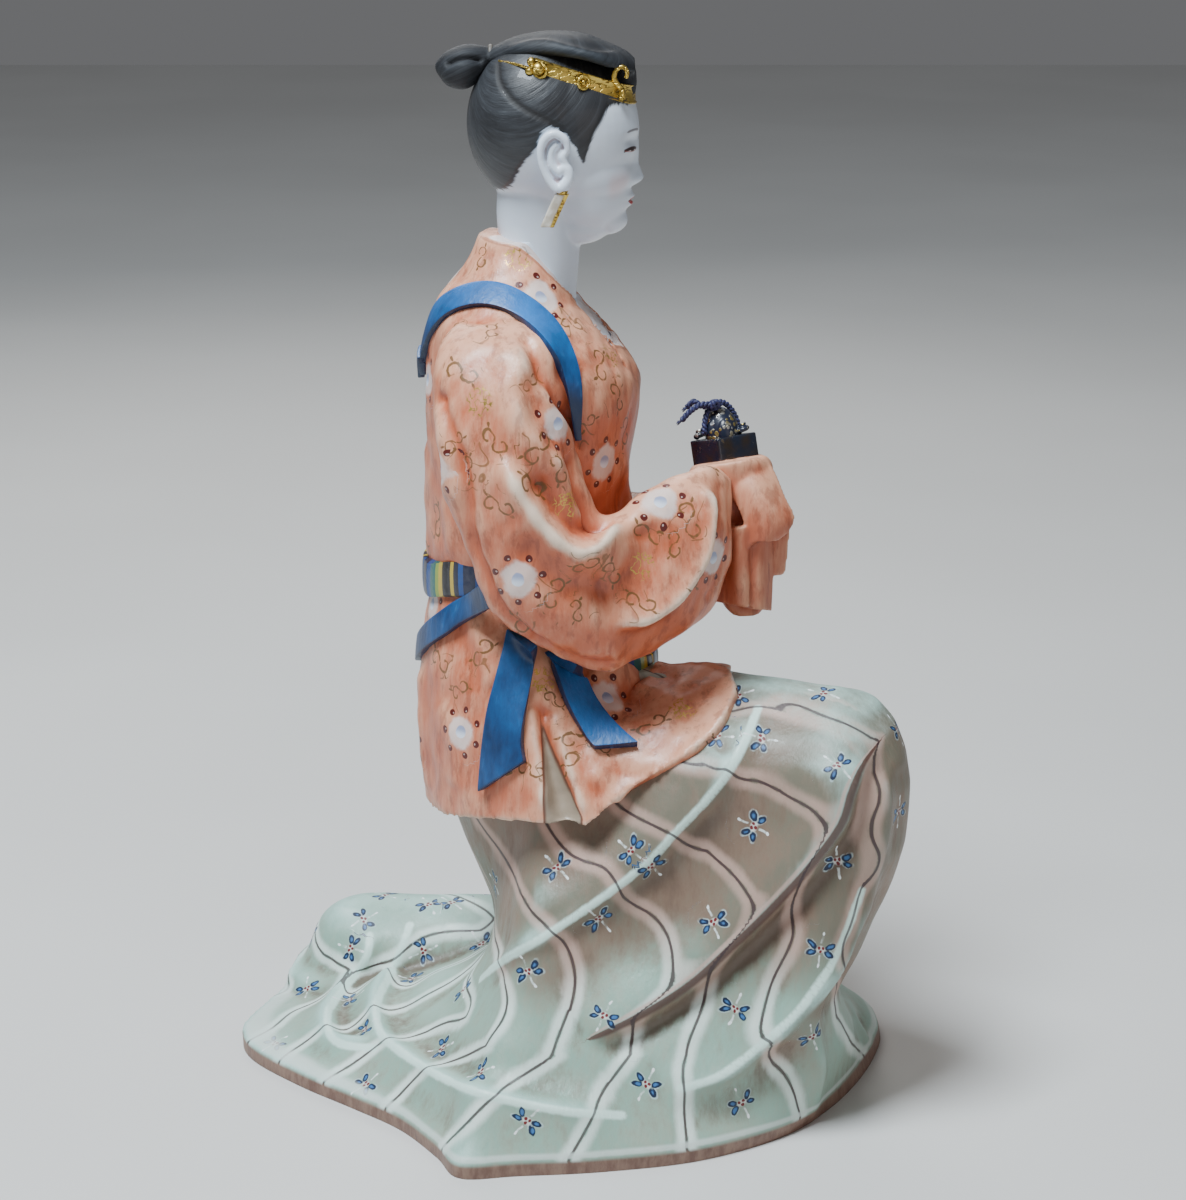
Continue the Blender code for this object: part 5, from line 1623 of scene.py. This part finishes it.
# The ear drops: a flat tapering plate below each ear, cast with the neck.
# They are painted cream over the clay, and their front edges are gilt.
shells = joined("ear_drops", shells)
apply(shells, "BEVEL", width=0.0003, segments=2)
shell_material, start = finish("cream drop", 0.3)
wire(noise(start, 300, 3).ramp(0.35, 0.7).paint((0.52, 0.46, 0.36), (0.80, 0.78, 0.70)), "Base Color")
relief(noise(start, 500, 2), 0.0002, 0.4)
dress(shells, shell_material, 0.7)
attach(shells, "root")
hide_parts("figure")


# The seal: a square block that stands loose on the cloth over the hands.
# It is cut from wood with softened edges and lacquered near black, a little worn.
seat_up = Vector((0.18, 0.155, 1)).normalized()
lean_over = Vector((0, 0, 1)).rotation_difference(seat_up).to_matrix().to_4x4()
seat = Matrix.Translation(world((40.4, 2, 191.9))) @ lean_over @ Matrix.Rotation(math.radians(35), 4, "Z")


def set_down(piece):
    """Moves a piece from the seal's own frame to the seat on the cloth."""
    piece.data.transform(seat)
    piece.data.update()


bpy.ops.object.select_all(action="DESELECT")
bpy.ops.mesh.primitive_cube_add(size=1, location=(0, 0, 0))
block = bpy.context.object
block.name = "seal_block"
bpy.ops.object.mode_set(mode="EDIT")
bpy.ops.mesh.select_all(action="SELECT")
bpy.ops.transform.resize(value=(0.0145, 0.0145, 0.0084))
bpy.ops.transform.translate(value=(0, 0, 0.0042))
bpy.ops.mesh.bevel(offset=0.0005, segments=3, affect="EDGES")
bpy.ops.object.mode_set(mode="OBJECT")
apply(block, "SUBSURF", subdivision_type="SIMPLE", levels=3)
set_down(block)
block_material, start = finish("dark lacquer", 0.16, coat=0.6)
worn = noise(start, 500, 3)
colour = noise(start, 180, 3).ramp(0.35, 0.7).paint((0.008, 0.014, 0.030), (0.026, 0.018, 0.012))
colour = (worn - 0.66).ramp(0.0, 0.03, 0.0, 0.35).paint(colour, (0.16, 0.11, 0.05))
wire(colour, "Base Color")
wire(worn.ramp(0.3, 0.7, 0.10, 0.28), "Roughness")
relief(noise(start, 260, 2), 0.0002, 0.35)
dress(block, block_material, 0.6)
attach(block, "root")
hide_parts("seal")


# The seal's knob: a small crouching beast with a coil at either side, one with the block it sits on.
# It is lacquered and dusted with silver and gold powder that leaves dark gaps.
beast_forms = []
for place_x, place_y, place_z, half_x, half_y, half_z in (
        (0, 0, 8.6, 5.3, 5.3, 8.9), (0.4, -3.2, 11.2, 3.2, 2.4, 4.2), (-3.4, 1.0, 9.6, 2.4, 3.0, 4.6),
        (3.4, 0.6, 9.6, 2.4, 3.0, 4.6), (0, 3.2, 10.2, 2.8, 2.4, 3.8)):
    form = ball("beast", (0, 0, 0), (1, 1, 1))
    form.data.transform(Matrix.Diagonal((half_x, half_y, half_z, 1)))
    form.data.transform(Matrix.Translation((place_x * 0.001, place_y * 0.001, place_z * 0.001)))
    beast_forms.append(form)
for side in (1, -1):
    turns_round = np.linspace(0, 3.4 * math.pi, 60)
    shrink = np.linspace(1.0, 0.35, 60)
    spiral = np.column_stack((side * 5.2 + 1.5 * shrink * np.cos(turns_round),
                              side * 4.3 + 1.5 * shrink * np.sin(turns_round), np.linspace(9.2, 11.6, 60)))
    coil = sweep("coil", spiral[:, [1, 0, 2]] * (-1, -1, 1), 0.75 * shrink + 0.15, 10)
    beast_forms.append(coil)
beast = run_together("seal_beast", beast_forms, 0.00022, 2)
cut_flat(beast, 0.0080)
set_down(beast)
beast_material, start = finish("powdered lacquer", 0.3)
where = start.node("Mapping", None, {"Vector": start.node("TexCoord", out="Object"),
                                     "Scale": (620, 620, 620)})
spots = start.node("TexVoronoi", {"feature": "F1"}, {"Vector": where, "Scale": 1.0})
cloudy = noise(start, 240, 3)
speck = (spots + (noise(start, 900, 2) - 0.5) * 0.5).fade(0.36, 0.46)
colour = cloudy.ramp(0.4, 0.65).paint((0.52, 0.54, 0.56), (0.42, 0.32, 0.09))
colour = (1 - speck).paint(colour, (0.014, 0.018, 0.035))
wire(colour, "Base Color")
wire(speck * 0.8, "Metallic")
relief(speck + cloudy, 0.0003, 0.6)
dress(beast, beast_material)
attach(beast, "root")
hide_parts("seal")


# The seal's cord: a navy two-ply silk cord over the knob, knotted behind it, with two stiff ends.
# It is real cord, laid loose round the knob and held by its own knot.
def plies(name, line, radius=0.55, offset=0.42, pitch=2.6, count=110):
    """Two thin strands twisted round a line."""
    line = through(line, count)
    heading = np.gradient(line, axis=0)
    steps = np.concatenate(([0], np.cumsum(np.linalg.norm(np.diff(line, axis=0), axis=1))))
    heading /= np.linalg.norm(heading, axis=1)[:, None]
    aside = np.cross(heading[0], (0.31, 0.27, 0.91))
    strands = [[], []]
    for point, way, run in zip(line, heading, steps):
        aside = aside - way * (aside @ way)
        aside /= np.linalg.norm(aside)
        across = np.cross(way, aside)
        for number, strand in enumerate(strands):
            turn = 2 * math.pi * run / pitch + math.pi * number
            strand.append(point + offset * (math.cos(turn) * aside + math.sin(turn) * across))
    return [sweep(name, strand, radius, 8) for strand in strands]


over_knob = []
for turn in np.radians(np.linspace(4, 176, 18)):
    spot = Vector((0, 6.45 * math.cos(turn), 9.55 + 9.4 * math.sin(turn))) * 0.001
    over_knob.append(measured(seat @ spot))
strands = plies("cord", over_knob)
from_knot = [(38.5, 2.2, 210.8), (36.2, 2.5, 210.3)]
tails = [[(32.5, 3.5, 210.6), (29.0, 4.5, 208.6), (26.6, 5.0, 206.0)],
         [(33.0, 1.0, 209.4), (30.4, -0.5, 210.6), (28.4, -1.5, 208.6)]]
for tail in tails:
    strands += plies("tail", from_knot + tail)
for tilt, size in ((0.3, 1.5), (1.7, 1.4), (-0.9, 1.3)):
    across = np.array((math.cos(tilt), math.sin(tilt), 0.2))
    upward = np.array((-0.3 * math.sin(tilt), 0.4, 0.9))
    loop = [np.array((36.4, 2.4, 210.2)) + size * (across * math.cos(a) + upward * math.sin(a))
            for a in np.linspace(0, 2 * math.pi, 24)]
    strands.append(sweep("knot loop", loop, 0.62, 10))
for tail in tails:
    for spray in range(6):
        turn = spray * 1.1
        away = np.array((-1.6 + 0.2 * (spray % 3), 0.7 * math.cos(turn), -0.8 + 0.7 * math.sin(turn)))
        line = [tail[-1] + away * share for share in (-0.3, 0.4, 1.0)]
        strands.append(sweep("frayed end", line, (0.28, 0.22, 0.1), 6))
seal_string = joined("seal_string", strands)
cord_material, start = finish("navy silk", 0.55)
sheen = noise(start, (1500, 1500, 1500), 2)
wire(sheen.ramp(0.3, 0.7).paint((0.012, 0.014, 0.055), (0.045, 0.05, 0.15)), "Base Color")
relief(sheen, 0.0002, 0.5)
dress(seal_string, cord_material)
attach(seal_string, "root")
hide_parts("seal_cord")

bpy.context.view_layer.update()
